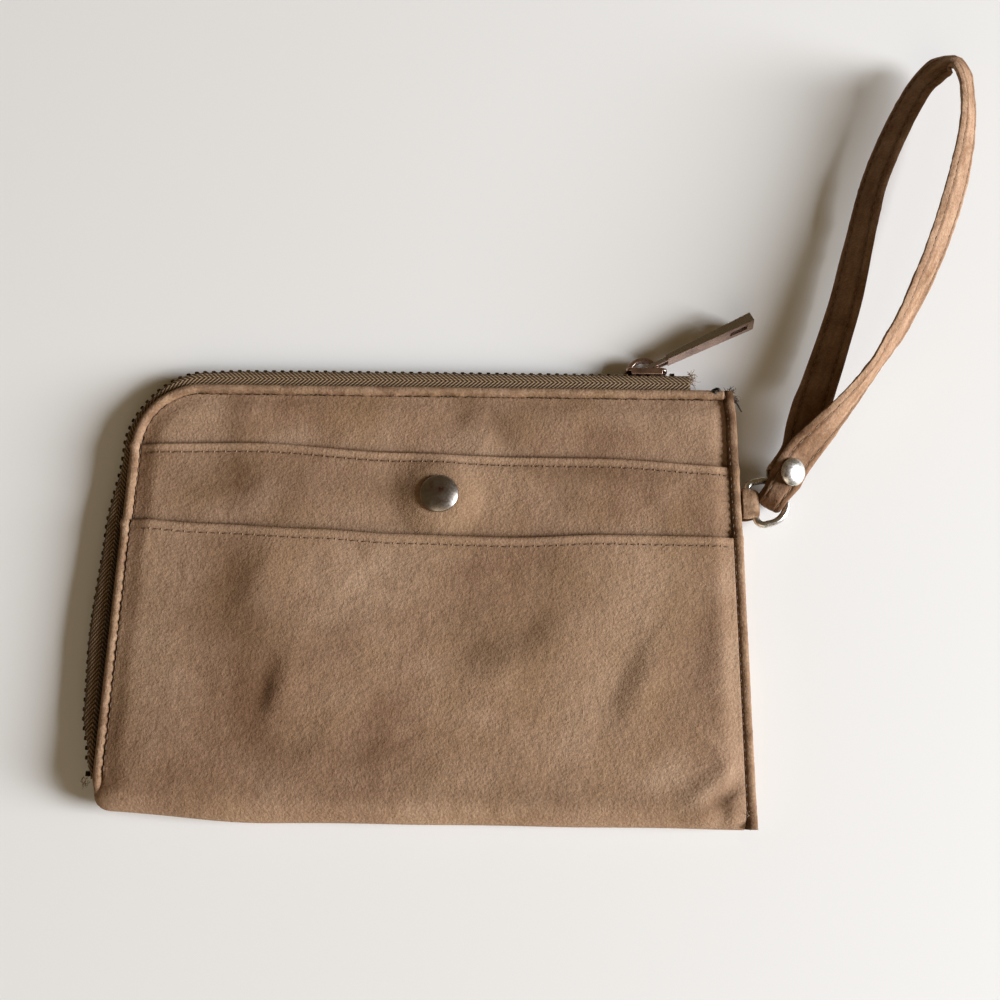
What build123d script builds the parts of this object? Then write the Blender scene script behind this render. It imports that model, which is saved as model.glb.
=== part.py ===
"""Suede wristlet clutch lying on its back, with a zip round two sides and two slip pockets.

The origin is the centre of the resting back face. +X runs along the top zip towards the wrist strap,
+Y from the bottom fold towards the zip, and +Z out of the pocket side.
"""
from build123d import *
import math
import os

os.makedirs("parts", exist_ok=True)

# Overall size of the leather body
body_width = 200.0
body_height = 140.0
corner_radius = 21.5        # top left corner, which the zip turns

# Plies
leather = 1.0
lining = 0.3
compartment = 4.2           # free depth between the two linings
tape_space = 0.5            # between leather and lining, where the zip tape is sewn in
ply_gap = 0.1               # between sewn plies
body_gap = 0.3              # between pieces that move apart
seam_inset = 4.0            # linings stop short of the edge

# Edgings
binding_width = 3.5         # folded strip down the right side
binding_thickness = 6.6
edging_width = 3.2          # strip that covers the raw edge along the zip
edging_thickness = 0.8
edging_foot = 4.0           # lower end of both strips, from the bottom fold

# Slip pockets: mouths from the top edge, foot from the bottom fold
middle_mouth_left = 21.0
middle_mouth_right = 26.5
outer_mouth_left = 48.0
outer_mouth_right = 51.5
middle_pocket_foot = 8.0
hinge_gap = 0.4

# Zip
tape_thickness = 0.4
tape_margin = 6.5           # part of the tape that is sewn under the leather
tape_end = 15.0             # closed end of the tape, from the right edge
zip_foot = 12.0             # lower end of the zip, from the bottom fold
chain_inner = 3.9           # teeth, measured outwards from the leather edge
chain_outer = 6.7
tooth_pitch = 2.9
tooth_length = 1.3
tooth_height = 1.5          # from the head to the foot, across the tape
chain_channel = 0.6         # half of the slot between the two rows of heads
tape_slot = 0.1             # clearance of the tape in a tooth
stop_length = 1.6
stop_height = 1.5

# Slider
slider_length = 14.0
slider_width = 7.1
slider_plate = 1.1
slider_inner_width = 3.0
slider_inner_plate = 1.0
slider_clearance = 0.35
slider_wall = 1.1
slider_flange = 1.1
slider_post = 0.6           # thickness of the wedge that joins the two plates
slider_post_length = 2.5
slider_end = 22.5           # closed end of the slider, from the right edge
bridge_width = 2.4
bridge_height = 4.6
bridge_thickness = 1.4
bridge_left = 6.4           # feet of the arch, from the slider's middle
bridge_right = 4.6

# Pull tab
pull_length = 39.0
pull_angle = 26.0           # from the zip, in plan
pull_pitch = 4.0
pull_roll = 9.0
pull_pin_radius = 0.65
pull_pin_x = 1.2            # from the slider's middle
pull_arm_length = 8.0
pull_arm_width = 0.9
pull_arm_thickness = 1.4
pull_base_start = 6.8
pull_base_thickness = 1.8
pull_tip_width = 6.0
pull_tip_thickness = 3.4
pull_slot_length = 6.5
pull_slot_width = 2.4
pull_slot_inset = 2.4       # metal left between the slot and the tip

# Snap fastener on the middle pocket
snap_x = 2.0
snap_from_top = 38.0
snap_cap_diameter = 12.5
snap_cap_rise = 2.2
snap_cap_rim = 0.7
snap_shank_diameter = 3.4
snap_socket_diameter = 10.4
snap_socket_thickness = 1.7
snap_socket_bore = 4.6
snap_stud_diameter = 9.6
snap_stud_flange = 0.4
snap_ball_diameter = 3.8
snap_ball_height = 1.3
snap_post_diameter = 7.0
snap_post_flange = 0.3
snap_foot_clearance = 0.3
leather_slope = 3.5         # width of the ramp where the leather rises over the snap

# Ring and its tab
ring_wire = 2.0
ring_inside = 12.6          # clear length of the straight bar
ring_depth = 4.2            # straight part of the two arms
ring_corner = 2.4
ring_angle = 14.0           # in plan
ring_height = 6.0           # of the wire's middle above the back
ring_out = 3.7              # bar's middle, outwards from the binding
ring_from_top = 39.0
tab_width = 10.2
tab_leather = 1.0
tab_clearance = 0.35

# Wrist strap: one ribbon that folds round the ring and is riveted to itself
strap_width = 12.4
strap_thickness = 2.4
strap_ply_gap = 0.2
strap_axis_angle = 57.0
rivet_out = 14.7            # rivet, outwards from the binding
rivet_from_top = 28.1
rivet_z = 7.2
rivet_roll = 26.0
strap_fold_width = 6.6
strap_fold_reach = 8.9      # from the rivet to the middle of the fold
strap_fold_side = 1.9       # the fold lies this far to the right of the rivet
strap_open_reach = 3.8      # from the rivet to where the plies are clear of the ring's wire
strap_ring_clearance = 0.8  # room round the ring's wire, so that the strap can swing on it
strap_tail = 7.0            # first end, past the rivet
strap_tuck = 2.5            # last end, past the rivet
rivet_cap_diameter = 9.2
rivet_cap_rise = 1.9
rivet_post_diameter = 2.4
rivet_post_clearance = 0.1
rivet_seat_gap = 0.3       # the rolled leather rises this far beside the caps
rivet_base_diameter = 8.0
rivet_base_thickness = 0.8

# The strap's free loop, from the rivet: along the strap, to its left, height over the back, and lean of the
# ribbon, whose upper edge leans into the loop. Its right leg comes first, then the far turn and its left leg.
strap_loop = [
    (18.0, -3.0, 11.2, 38.0),
    (27.4, -4.4, 12.6, 52.0),
    (36.6, -5.4, 13.8, 63.0),
    (45.7, -6.0, 14.8, 70.0),
    (54.6, -6.1, 15.7, 68.0),
    (63.5, -6.1, 16.4, 63.0),
    (83.5, -4.1, 17.3, 56.0),
    (96.8, -2.0, 17.5, 55.0),
    (110.2, 0.7, 17.6, 54.0),
    (123.6, 4.0, 17.4, 56.0),
    (137.1, 8.0, 16.9, 61.0),
    (150.5, 13.6, 15.8, 66.0),
    (161.2, 19.6, 14.2, 67.0),
    (165.8, 25.4, 12.4, 66.0),
    (164.6, 30.4, 10.8, 66.0),
    (159.6, 32.4, 9.6, 66.0),
    (150.0, 31.9, 8.7, 65.0),
    (137.8, 30.8, 7.9, 64.0),
    (123.0, 28.9, 7.4, 61.0),
    (108.9, 26.2, 7.1, 58.0),
    (96.0, 22.4, 6.8, 55.0),
    (83.3, 18.5, 6.5, 51.0),
    (66.9, 13.3, 6.1, 43.0),
    (50.2, 9.1, 5.5, 32.0),
    (33.9, 5.4, 5.0, 18.0),
    (20.0, 2.8, 5.6, -6.0),
]

# Levels above the back face, ply by ply
back_tape_z = leather + (tape_space - tape_thickness) / 2
back_lining_z = leather + tape_space
hollow_z = back_lining_z + lining
front_lining_z = hollow_z + compartment
front_tape_z = front_lining_z + lining + (tape_space - tape_thickness) / 2
front_z = front_lining_z + lining + tape_space
front_face_z = front_z + leather
middle_z = front_face_z + body_gap
outer_z = middle_z + leather + body_gap
body_thickness = outer_z + leather
zip_z = (back_tape_z + front_tape_z + tape_thickness) / 2

# Edges of the leather
left_edge = -body_width / 2
right_edge = body_width / 2
bottom_edge = -body_height / 2
top_edge = body_height / 2
panel_right = right_edge - binding_width - ply_gap
pocket_left = left_edge + edging_width + body_gap
pocket_right = right_edge - binding_width - body_gap
fold_radius = body_thickness / 2
tape_end_x = right_edge - tape_end
slider_end_x = right_edge - slider_end


def corner_panel(left, right, bottom, top, radius):
    """Rectangle whose top left corner is rounded."""
    with BuildSketch() as sketch:
        with BuildLine():
            FilletPolyline((left, bottom), (left, top), (right, top), radius=radius)
            Polyline((right, top), (right, bottom), (left, bottom))
        make_face()
    return sketch.sketch


def pocket_panel(bottom, mouth_left, mouth_right):
    """Flat pocket ply whose mouth slopes from left to right."""
    with BuildSketch() as sketch:
        with BuildLine():
            Polyline(
                (pocket_left, bottom),
                (pocket_right, bottom),
                (pocket_right, top_edge - mouth_right),
                (pocket_left, top_edge - mouth_left),
                close=True,
            )
        make_face()
    return sketch.sketch


def zip_line(outwards, height, foot=zip_foot, end_x=tape_end_x):
    """Line along the zip, a set distance outwards from the leather edge, from the foot to the closed end."""
    left = left_edge - outwards
    top = top_edge + outwards
    with BuildLine() as line:
        FilletPolyline(
            (left, bottom_edge + foot, height),
            (left, top, height),
            (end_x, top, height),
            radius=corner_radius + outwards,
        )
    return line.wires()[0]


def across_zip(line, distance):
    """Plane across the zip: its x points outwards and its y along +Z."""
    share = distance / line.length
    tangent = line % share
    return Plane(origin=line @ share, x_dir=(-tangent.Y, tangent.X, 0), z_dir=tangent)


def save(builder, name):
    builder.part.label = name
    export_step(builder.part, f"parts/{name}.step")


# Shell: the back panel and the fold along the bottom
edge_line = zip_line(0, 0)
edging_line = zip_line(0, 0, edging_foot, panel_right - body_gap)
with BuildPart() as shell_back:
    with BuildSketch(Plane.XY):
        add(corner_panel(
            left_edge + edging_width + ply_gap,
            panel_right,
            bottom_edge + fold_radius,
            top_edge - edging_width - ply_gap,
            corner_radius - edging_width - ply_gap,
        ))
    extrude(amount=leather)
    with BuildSketch(Plane.YZ.offset(left_edge + edging_width + ply_gap)):
        with Locations((bottom_edge + fold_radius, fold_radius)):
            Circle(fold_radius)
            Circle(fold_radius - leather, mode=Mode.SUBTRACT)
        with Locations((bottom_edge + fold_radius + body_thickness, fold_radius)):
            Rectangle(2 * body_thickness, 2 * body_thickness, mode=Mode.SUBTRACT)
    extrude(amount=panel_right - left_edge - edging_width - ply_gap)
save(shell_back, "shell_back")

with BuildPart() as back_lining:
    with BuildSketch(Plane.XY.offset(back_lining_z)):
        add(corner_panel(
            left_edge + seam_inset,
            right_edge - seam_inset,
            bottom_edge + seam_inset,
            top_edge - seam_inset,
            corner_radius - seam_inset,
        ))
    extrude(amount=lining)
save(back_lining, "back_lining")

with BuildPart() as front_lining:
    with BuildSketch(Plane.XY.offset(front_lining_z)):
        add(corner_panel(
            left_edge + seam_inset,
            right_edge - seam_inset,
            bottom_edge + seam_inset,
            top_edge - seam_inset,
            corner_radius - seam_inset,
        ))
    extrude(amount=lining)
save(front_lining, "front_lining")

# Front panel, with the hole for the post of the snap's stud
snap_y = top_edge - snap_from_top
with BuildPart() as front_panel:
    with BuildSketch(Plane.XY.offset(front_z)):
        add(corner_panel(
            left_edge + ply_gap,
            panel_right,
            bottom_edge + seam_inset,
            top_edge - ply_gap,
            corner_radius - ply_gap,
        ))
        with Locations((snap_x, snap_y)):
            Circle(snap_shank_diameter / 2 + ply_gap, mode=Mode.SUBTRACT)
    extrude(amount=leather)
save(front_panel, "front_panel")

# Strips that cover the raw edges along the zip, front and back
with BuildPart() as edging_front:
    with BuildSketch(across_zip(edging_line, 0)):
        with Locations((-edging_width / 2, front_face_z + ply_gap + edging_thickness / 2)):
            Rectangle(edging_width, edging_thickness)
    sweep(path=edging_line)
save(edging_front, "edging_front")

with BuildPart() as edging_back:
    with BuildSketch(across_zip(edging_line, 0)):
        with Locations((-edging_width / 2, leather / 2)):
            Rectangle(edging_width, leather)
    sweep(path=edging_line)
save(edging_back, "edging_back")

# Binding down the right side: a strip folded round the edges of all the plies
with BuildPart() as side_binding:
    with BuildSketch(Plane.XZ.offset(-top_edge)):
        with Locations((right_edge - binding_width / 2, fold_radius)):
            Rectangle(binding_width, binding_thickness)
        with Locations((right_edge - leather - binding_width / 2, fold_radius)):
            Rectangle(binding_width, binding_thickness - 2 * leather, mode=Mode.SUBTRACT)
    extrude(amount=body_height)
    fillet(side_binding.edges().filter_by(Axis.Y).sort_by(Axis.X)[-2:], leather * 0.9)
save(side_binding, "side_binding")

# Middle pocket, raised over the snap
socket_z = front_face_z + snap_stud_flange + snap_foot_clearance
snap_leather_z = socket_z + snap_socket_thickness
snap_plateau = snap_socket_diameter / 2 + body_gap
with BuildPart() as middle_pocket:
    with BuildSketch(Plane.XY.offset(middle_z)):
        add(pocket_panel(bottom_edge + middle_pocket_foot, middle_mouth_left, middle_mouth_right))
        with Locations((snap_x, snap_y)):
            Circle(snap_plateau + leather_slope, mode=Mode.SUBTRACT)
    extrude(amount=leather)
    with BuildSketch(Plane.XZ.offset(-snap_y)):
        with BuildLine():
            Polyline(
                (snap_x + snap_shank_diameter / 2 + ply_gap, snap_leather_z),
                (snap_x + snap_plateau, snap_leather_z),
                (snap_x + snap_plateau + leather_slope, middle_z),
                (snap_x + snap_plateau + leather_slope, middle_z + leather),
                (snap_x + snap_plateau, snap_leather_z + leather),
                (snap_x + snap_shank_diameter / 2 + ply_gap, snap_leather_z + leather),
                close=True,
            )
        make_face()
    revolve(axis=Axis((snap_x, snap_y, 0), (0, 0, 1)))
save(middle_pocket, "middle_pocket")

with BuildPart() as outer_pocket:
    with BuildSketch(Plane.XY.offset(outer_z)):
        add(pocket_panel(bottom_edge + fold_radius + hinge_gap, outer_mouth_left, outer_mouth_right))
    extrude(amount=leather)
save(outer_pocket, "outer_pocket")

# Snap: cap and socket on the pocket, stud and post on the front panel
cap_z = snap_leather_z + leather
ball_top = front_face_z + snap_stud_flange + snap_ball_height
shank_foot = ball_top + body_gap
with BuildPart() as snap_cap:
    with BuildSketch(Plane.XZ.offset(-snap_y)):
        with BuildLine():
            Line((snap_x, shank_foot), (snap_x, cap_z + snap_cap_rise))
            ThreePointArc(
                (snap_x, cap_z + snap_cap_rise),
                (snap_x + 0.36 * snap_cap_diameter, cap_z + 0.72 * snap_cap_rise),
                (snap_x + snap_cap_diameter / 2, cap_z + snap_cap_rim / 2),
            )
            Polyline(
                (snap_x + snap_cap_diameter / 2, cap_z + snap_cap_rim / 2),
                (snap_x + snap_cap_diameter / 2 - snap_cap_rim / 2, cap_z),
                (snap_x + snap_shank_diameter / 2, cap_z),
                (snap_x + snap_shank_diameter / 2, shank_foot),
                (snap_x, shank_foot),
            )
        make_face()
    revolve(axis=Axis((snap_x, snap_y, 0), (0, 0, 1)))
save(snap_cap, "snap_cap")

with BuildPart() as snap_socket:
    with BuildSketch(Plane.XY.offset(socket_z)):
        with Locations((snap_x, snap_y)):
            Circle(snap_socket_diameter / 2)
            Circle(snap_socket_bore / 2, mode=Mode.SUBTRACT)
    extrude(amount=snap_socket_thickness)
    fillet(snap_socket.faces().sort_by(Axis.Z)[0].outer_wire().edges(), snap_socket_thickness / 4)
save(snap_socket, "snap_socket")

with BuildPart() as snap_stud:
    with BuildSketch(Plane.XY.offset(front_face_z)):
        with Locations((snap_x, snap_y)):
            Circle(snap_stud_diameter / 2)
    extrude(amount=snap_stud_flange)
    with BuildSketch(Plane.XY.offset(front_face_z + snap_stud_flange)):
        with Locations((snap_x, snap_y)):
            Circle(snap_ball_diameter / 2)
    extrude(amount=snap_ball_height)
    fillet(snap_stud.faces().sort_by(Axis.Z)[-1].outer_wire().edges(), snap_ball_height / 3)
    with BuildSketch(Plane.XY.offset(front_z + leather / 2)):
        with Locations((snap_x, snap_y)):
            Circle(snap_shank_diameter / 2)
    extrude(amount=leather / 2)
save(snap_stud, "snap_stud")

with BuildPart() as snap_post:
    with BuildSketch(Plane.XY.offset(front_z - snap_post_flange)):
        with Locations((snap_x, snap_y)):
            Circle(snap_post_diameter / 2)
    extrude(amount=snap_post_flange)
    with BuildSketch(Plane.XY.offset(front_z)):
        with Locations((snap_x, snap_y)):
            Circle(snap_shank_diameter / 2)
    extrude(amount=leather / 2)
save(snap_post, "snap_post")

# Zip tapes: each runs flat under the leather and turns in to the teeth
tape_leg_in = (chain_inner + chain_outer) / 2 - tape_thickness / 2
tape_leg_out = tape_leg_in + tape_thickness
tape_leg_foot = zip_z + chain_channel + tooth_height / 2
tape_knee = chain_channel + tooth_height + tape_thickness + tape_slot


def tape_profile(side):
    """Section of one tape, on the plane across the zip; side is +1 for the front and -1 for the back."""
    flat = front_tape_z + tape_thickness - zip_z
    points = [
        (-tape_margin, flat),
        (edging_thickness, flat),
        (tape_leg_out, tape_knee),
        (tape_leg_out, tape_leg_foot - zip_z),
        (tape_leg_in, tape_leg_foot - zip_z),
        (tape_leg_in, tape_knee - tape_thickness),
        (edging_thickness, flat - tape_thickness),
        (-tape_margin, flat - tape_thickness),
    ]
    with BuildSketch() as sketch:
        with BuildLine():
            Polyline(*[(outwards, zip_z + side * height) for outwards, height in points], close=True)
        make_face()
    return sketch.sketch


for side, name in ((1, "zip_tape_front"), (-1, "zip_tape_back")):
    with BuildPart() as zip_tape:
        with BuildSketch(across_zip(edge_line, 0)):
            add(tape_profile(side))
        sweep(path=edge_line)
    save(zip_tape, name)

# Teeth: each clamps the edge of its tape, and the two rows are half a pitch apart
chain_middle = (chain_inner + chain_outer) / 2
slider_x = slider_end_x - slider_length / 2
teeth_line = zip_line(chain_middle, zip_z, zip_foot + 2 * stop_length, slider_end_x - stop_length)
tooth_count = int((teeth_line.length - tooth_length) / tooth_pitch)
for side, name in ((1, "zip_teeth_front"), (-1, "zip_teeth_back")):
    start = tooth_length / 2 + (0 if side > 0 else tooth_pitch / 2)
    head = chain_channel + tooth_height / 2
    with BuildPart() as tooth:
        with BuildSketch(Plane.XY.offset(-tooth_length / 2)):
            with Locations((0, side * head)):
                Rectangle(chain_outer - chain_inner, tooth_height)
            with Locations((0, side * (head + tooth_height / 2 - tape_slot))):
                Rectangle(tape_thickness + 2 * tape_slot, tooth_height, mode=Mode.SUBTRACT)
        extrude(amount=tooth_length)
    with BuildPart() as zip_teeth:
        places = [across_zip(teeth_line, start + number * tooth_pitch) for number in range(tooth_count)]
        with Locations(*places):
            add(tooth.part)
    save(zip_teeth, name)

# Stops: one on each tape at the closed end, and one across both at the foot
with BuildPart() as zip_top_stops:
    for side in (1, -1):
        stop_middle = zip_z + side * (chain_channel + stop_height / 2)
        with BuildSketch(Plane.YZ.offset(slider_end_x + stop_length / 2)):
            with Locations((top_edge + chain_middle, stop_middle)):
                Rectangle(chain_outer - chain_inner, stop_height)
            with Locations((top_edge + chain_middle, stop_middle + side * (stop_height / 2 - tape_slot))):
                Rectangle(tape_thickness + 4 * tape_slot, stop_height, mode=Mode.SUBTRACT)
        extrude(amount=stop_length)
save(zip_top_stops, "zip_top_stops")

foot_line = zip_line(chain_middle, zip_z)
with BuildPart() as zip_bottom_stop:
    with BuildSketch(across_zip(foot_line, stop_length / 2)):
        Rectangle(chain_outer - chain_inner, 2 * (chain_channel + stop_height))
        for side in (1, -1):
            with Locations((0, side * (chain_channel + stop_height - tape_slot))):
                Rectangle(tape_thickness + 4 * tape_slot, stop_height, mode=Mode.SUBTRACT)
    extrude(amount=stop_length)
save(zip_bottom_stop, "zip_bottom_stop")

# Slider: an outer plate with flanges, an inner plate, the wedge between them and the bridge
cavity_out = top_edge + chain_outer + slider_clearance
cavity_in = top_edge + chain_inner - slider_clearance
plate_top = cavity_out + slider_plate
cavity_half = chain_channel + tooth_height + slider_clearance
with BuildPart() as zip_slider:
    with BuildSketch(Plane.XZ.offset(-plate_top)):
        with Locations((slider_x, zip_z)):
            RectangleRounded(slider_length, slider_width, slider_width / 4)
    extrude(amount=slider_plate)
    for side in (1, -1):
        with BuildSketch(Plane.XZ.offset(-cavity_out)):
            flange_middle = zip_z + side * (slider_width / 2 - slider_wall / 2)
            with Locations((slider_x, flange_middle)):
                Rectangle(slider_length - slider_width / 2, slider_wall)
        extrude(amount=slider_flange)
    with BuildSketch(Plane.XZ.offset(-cavity_in)):
        with Locations((slider_x, zip_z)):
            RectangleRounded(slider_length - 2 * slider_wall, slider_inner_width, slider_inner_width / 3)
    extrude(amount=slider_inner_plate)
    with BuildSketch(Plane.XZ.offset(-cavity_out)):
        with Locations((slider_x + slider_length / 2 - slider_wall - slider_post_length, zip_z)):
            Rectangle(slider_post_length, slider_post)
    extrude(amount=cavity_out - cavity_in)
    with BuildSketch(Plane.XY.offset(zip_z - bridge_width / 2)):
        with BuildLine():
            crown = slider_x + (bridge_right - bridge_left) / 2
            ThreePointArc(
                (slider_x - bridge_left, plate_top),
                (crown, plate_top + bridge_height),
                (slider_x + bridge_right, plate_top),
            )
            Line(
                (slider_x + bridge_right, plate_top),
                (slider_x + bridge_right - bridge_thickness, plate_top),
            )
            ThreePointArc(
                (slider_x + bridge_right - bridge_thickness, plate_top),
                (crown, plate_top + bridge_height - bridge_thickness),
                (slider_x - bridge_left + bridge_thickness, plate_top),
            )
            Line(
                (slider_x - bridge_left + bridge_thickness, plate_top),
                (slider_x - bridge_left, plate_top),
            )
        make_face()
    extrude(amount=bridge_width)
save(zip_slider, "zip_slider")

# Pull tab: a pin under the bridge, two arms beside it and a tapered bar with a slot near its tip
pin_x = slider_x + pull_pin_x
pin_y = plate_top + pull_pin_radius + slider_clearance
turn = math.radians(pull_angle)
pitch = math.radians(pull_pitch)
roll = math.radians(pull_roll)
pull_ahead = Vector(math.cos(turn) * math.cos(pitch), math.sin(turn) * math.cos(pitch), math.sin(pitch))
pull_up = Vector(-math.sin(turn) * math.sin(roll), math.cos(turn) * math.sin(roll), math.cos(roll))
arm_middle = bridge_width / 2 + body_gap + pull_arm_width / 2
pull_base_width = 2 * arm_middle + pull_arm_width


def across_pull(distance):
    """Plane across the pull tab's bar: its x runs through the thickness and its y across the width."""
    point = Vector(pin_x, pin_y, zip_z) + pull_ahead * distance
    return Plane(origin=point, x_dir=pull_up.cross(pull_ahead), z_dir=pull_ahead)


slot_middle = pull_length - pull_slot_inset - pull_slot_length / 2
with BuildPart() as pull_tab:
    with BuildSketch(across_pull(pull_base_start)):
        Rectangle(pull_base_thickness, pull_base_width)
    with BuildSketch(across_pull(pull_length)):
        Rectangle(pull_tip_thickness, pull_tip_width)
    loft()
    slot_origin = Vector(pin_x, pin_y, zip_z) + pull_ahead * slot_middle
    slot_normal = pull_ahead.cross(pull_up)
    with BuildSketch(Plane(origin=slot_origin, x_dir=pull_ahead, z_dir=slot_normal)):
        Rectangle(pull_slot_length, pull_slot_width)
    extrude(amount=pull_tip_thickness, both=True, mode=Mode.SUBTRACT)
    arm_plane = Plane(
        origin=(pin_x, pin_y, zip_z), x_dir=(math.cos(turn), math.sin(turn), 0), z_dir=(0, 0, 1)
    )
    for side in (1, -1):
        with BuildSketch(arm_plane.offset(side * arm_middle - pull_arm_width / 2)):
            with Locations(((pull_arm_length - pull_pin_radius) / 2, 0)):
                SlotOverall(pull_arm_length + pull_pin_radius, pull_arm_thickness)
        extrude(amount=pull_arm_width)
    with BuildSketch(arm_plane.offset(-arm_middle)):
        Circle(pull_pin_radius)
    extrude(amount=2 * arm_middle)
save(pull_tab, "pull_tab")

# D-ring: a straight bar in the tab, two arms and a bow
ring_turn = math.radians(ring_angle)
ring_middle = Vector(right_edge + ring_out, top_edge - ring_from_top, ring_height)
ring_ahead = Vector(math.cos(ring_turn), math.sin(ring_turn), 0)
ring_plane = Plane(origin=ring_middle, x_dir=ring_ahead, z_dir=(0, 0, 1))
bar_half = (ring_inside + ring_wire) / 2
with BuildLine(ring_plane) as ring_path:
    Line((0, 0), (0, bar_half - ring_corner))
    RadiusArc((0, bar_half - ring_corner), (ring_corner, bar_half), ring_corner)
    Line((ring_corner, bar_half), (ring_depth, bar_half))
    ThreePointArc((ring_depth, bar_half), (ring_depth + bar_half, 0), (ring_depth, -bar_half))
    Line((ring_depth, -bar_half), (ring_corner, -bar_half))
    RadiusArc((ring_corner, -bar_half), (0, ring_corner - bar_half), ring_corner)
    Line((0, ring_corner - bar_half), (0, 0))
with BuildPart() as d_ring:
    with BuildSketch(Plane(origin=ring_path.line @ 0, z_dir=ring_path.line % 0)):
        Circle(ring_wire / 2)
    sweep(path=ring_path.line)
save(d_ring, "d_ring")

# Tab: a leather loop from the binding round the ring's bar
tab_inner = ring_wire / 2 + tab_clearance
tab_outer = tab_inner + tab_leather
with BuildPart() as ring_tab:
    tab_reach = ring_out - ply_gap
    with BuildSketch(Plane.XZ.offset(-(ring_middle.Y + tab_width / 2))):
        with Locations((ring_middle.X, ring_height)):
            Circle(tab_outer)
        with Locations((ring_middle.X - tab_reach / 2, ring_height)):
            Rectangle(tab_reach, 2 * tab_outer)
        with Locations((ring_middle.X, ring_height)):
            Circle(tab_inner, mode=Mode.SUBTRACT)
    extrude(amount=tab_width)
    bore_half = bar_half + ring_wire
    bar_along = Vector(-ring_ahead.Y, ring_ahead.X, 0)
    with BuildSketch(Plane(origin=ring_middle - bar_along * bore_half, z_dir=bar_along)):
        Circle(tab_inner)
    extrude(amount=2 * bore_half, mode=Mode.SUBTRACT)
save(ring_tab, "ring_tab")

# Wrist strap
strap_turn = math.radians(strap_axis_angle)
strap_ahead = Vector(math.cos(strap_turn), math.sin(strap_turn), 0)
strap_left = Vector(-math.sin(strap_turn), math.cos(strap_turn), 0)
rivet_point = Vector(right_edge + rivet_out, top_edge - rivet_from_top, rivet_z)
ply_step = strap_thickness + strap_ply_gap
fold_step = ring_wire / 2 + strap_ring_clearance + strap_thickness / 2


def ribbon_point(along, level, lean=0.0, width=strap_width):
    """Point of the riveted stack: along the strap from the rivet, and level over the stack's middle."""
    share = max(0.0, min(1.0, 1 + along / strap_open_reach))
    height = ring_height + share * (rivet_z - ring_height)
    tilt = math.radians(lean)
    up = strap_left * -math.sin(tilt) + Vector(0, 0, math.cos(tilt))
    aside = (share - 1) * strap_fold_side
    base = Vector(rivet_point.X, rivet_point.Y, height) + strap_ahead * along + strap_left * aside
    return base + up * level, lean, width


stations = [
    ribbon_point(strap_tail, -ply_step, rivet_roll),
    ribbon_point(0, -ply_step, rivet_roll),
    ribbon_point(-strap_open_reach, -fold_step, 0, (strap_fold_width + strap_width) / 2),
    ribbon_point(-strap_fold_reach, -fold_step, 0, strap_fold_width),
]
fold_steps = 6
for step in range(1, fold_steps):
    angle = math.pi * step / fold_steps
    reach = -strap_fold_reach - fold_step * math.sin(angle)
    stations.append(ribbon_point(reach, -fold_step * math.cos(angle), 0, strap_fold_width))
stations += [
    ribbon_point(-strap_fold_reach, fold_step, 0, strap_fold_width),
    ribbon_point(-strap_open_reach, fold_step, 0, (strap_fold_width + strap_width) / 2),
    ribbon_point(0, ply_step, rivet_roll),
    ribbon_point(strap_tail, ply_step, rivet_roll),
]
stack_end = len(stations)
for along, left, height, lean in strap_loop:
    point = Vector(rivet_point.X, rivet_point.Y, height) + strap_ahead * along + strap_left * left
    stations.append((point, lean, strap_width))
loop_end = len(stations)
stations += [
    ribbon_point(strap_tail, 0, rivet_roll),
    ribbon_point(0, 0, rivet_roll),
    ribbon_point(-strap_tuck, 0, rivet_roll),
]


def ribbon_plane(number):
    """Plane across the ribbon at one station: its x runs from the lower edge to the upper one."""
    point, lean, width = stations[number]
    before = stations[max(number - 1, 0)][0]
    after = stations[min(number + 1, len(stations) - 1)][0]
    tangent = (after - before).normalized()
    inward = strap_left
    if stack_end <= number < loop_end:
        inward = Vector(-tangent.Y, tangent.X, 0).normalized()
    if number >= loop_end:
        inward = -strap_left
        lean = -lean
    tilt = math.radians(lean)
    upper = inward * math.cos(tilt) + Vector(0, 0, math.sin(tilt))
    upper = (upper - tangent * upper.dot(tangent)).normalized()
    return Plane(origin=point, x_dir=upper, z_dir=tangent)


rivet_up = (strap_left * -math.sin(math.radians(rivet_roll)) + Vector(0, 0, math.cos(math.radians(rivet_roll))))
rivet_plane = Plane(origin=rivet_point, x_dir=strap_ahead, z_dir=rivet_up)
stack_half = ply_step + strap_thickness / 2
cap_seat = stack_half + rivet_seat_gap
with BuildPart() as wrist_strap:
    for number in range(len(stations)):
        with BuildSketch(ribbon_plane(number)):
            Rectangle(stations[number][2], strap_thickness)
    loft(ruled=True)
    with BuildSketch(rivet_plane.offset(-2 * stack_half)):
        Circle(rivet_post_diameter / 2 + rivet_post_clearance)
    extrude(amount=4 * stack_half, mode=Mode.SUBTRACT)
    for side in (1, -1):
        with BuildSketch(rivet_plane.offset(side * cap_seat)):
            Circle(rivet_cap_diameter / 2 + ply_gap)
        extrude(amount=side * rivet_cap_rise, mode=Mode.SUBTRACT)
save(wrist_strap, "wrist_strap")

# Rivet: domed cap with its post, and the base that the post is set into
with BuildPart() as rivet_cap:
    with BuildSketch(rivet_plane.offset(cap_seat)):
        Circle(rivet_cap_diameter / 2)
    extrude(amount=rivet_cap_rise)
    rim = rivet_cap.faces().sort_by(Axis(rivet_point, rivet_up))[-1].outer_wire().edges()
    fillet(rim, rivet_cap_rise * 0.8)
    with BuildSketch(rivet_plane):
        Circle(rivet_post_diameter / 2)
    extrude(amount=cap_seat)
save(rivet_cap, "rivet_cap")

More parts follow.
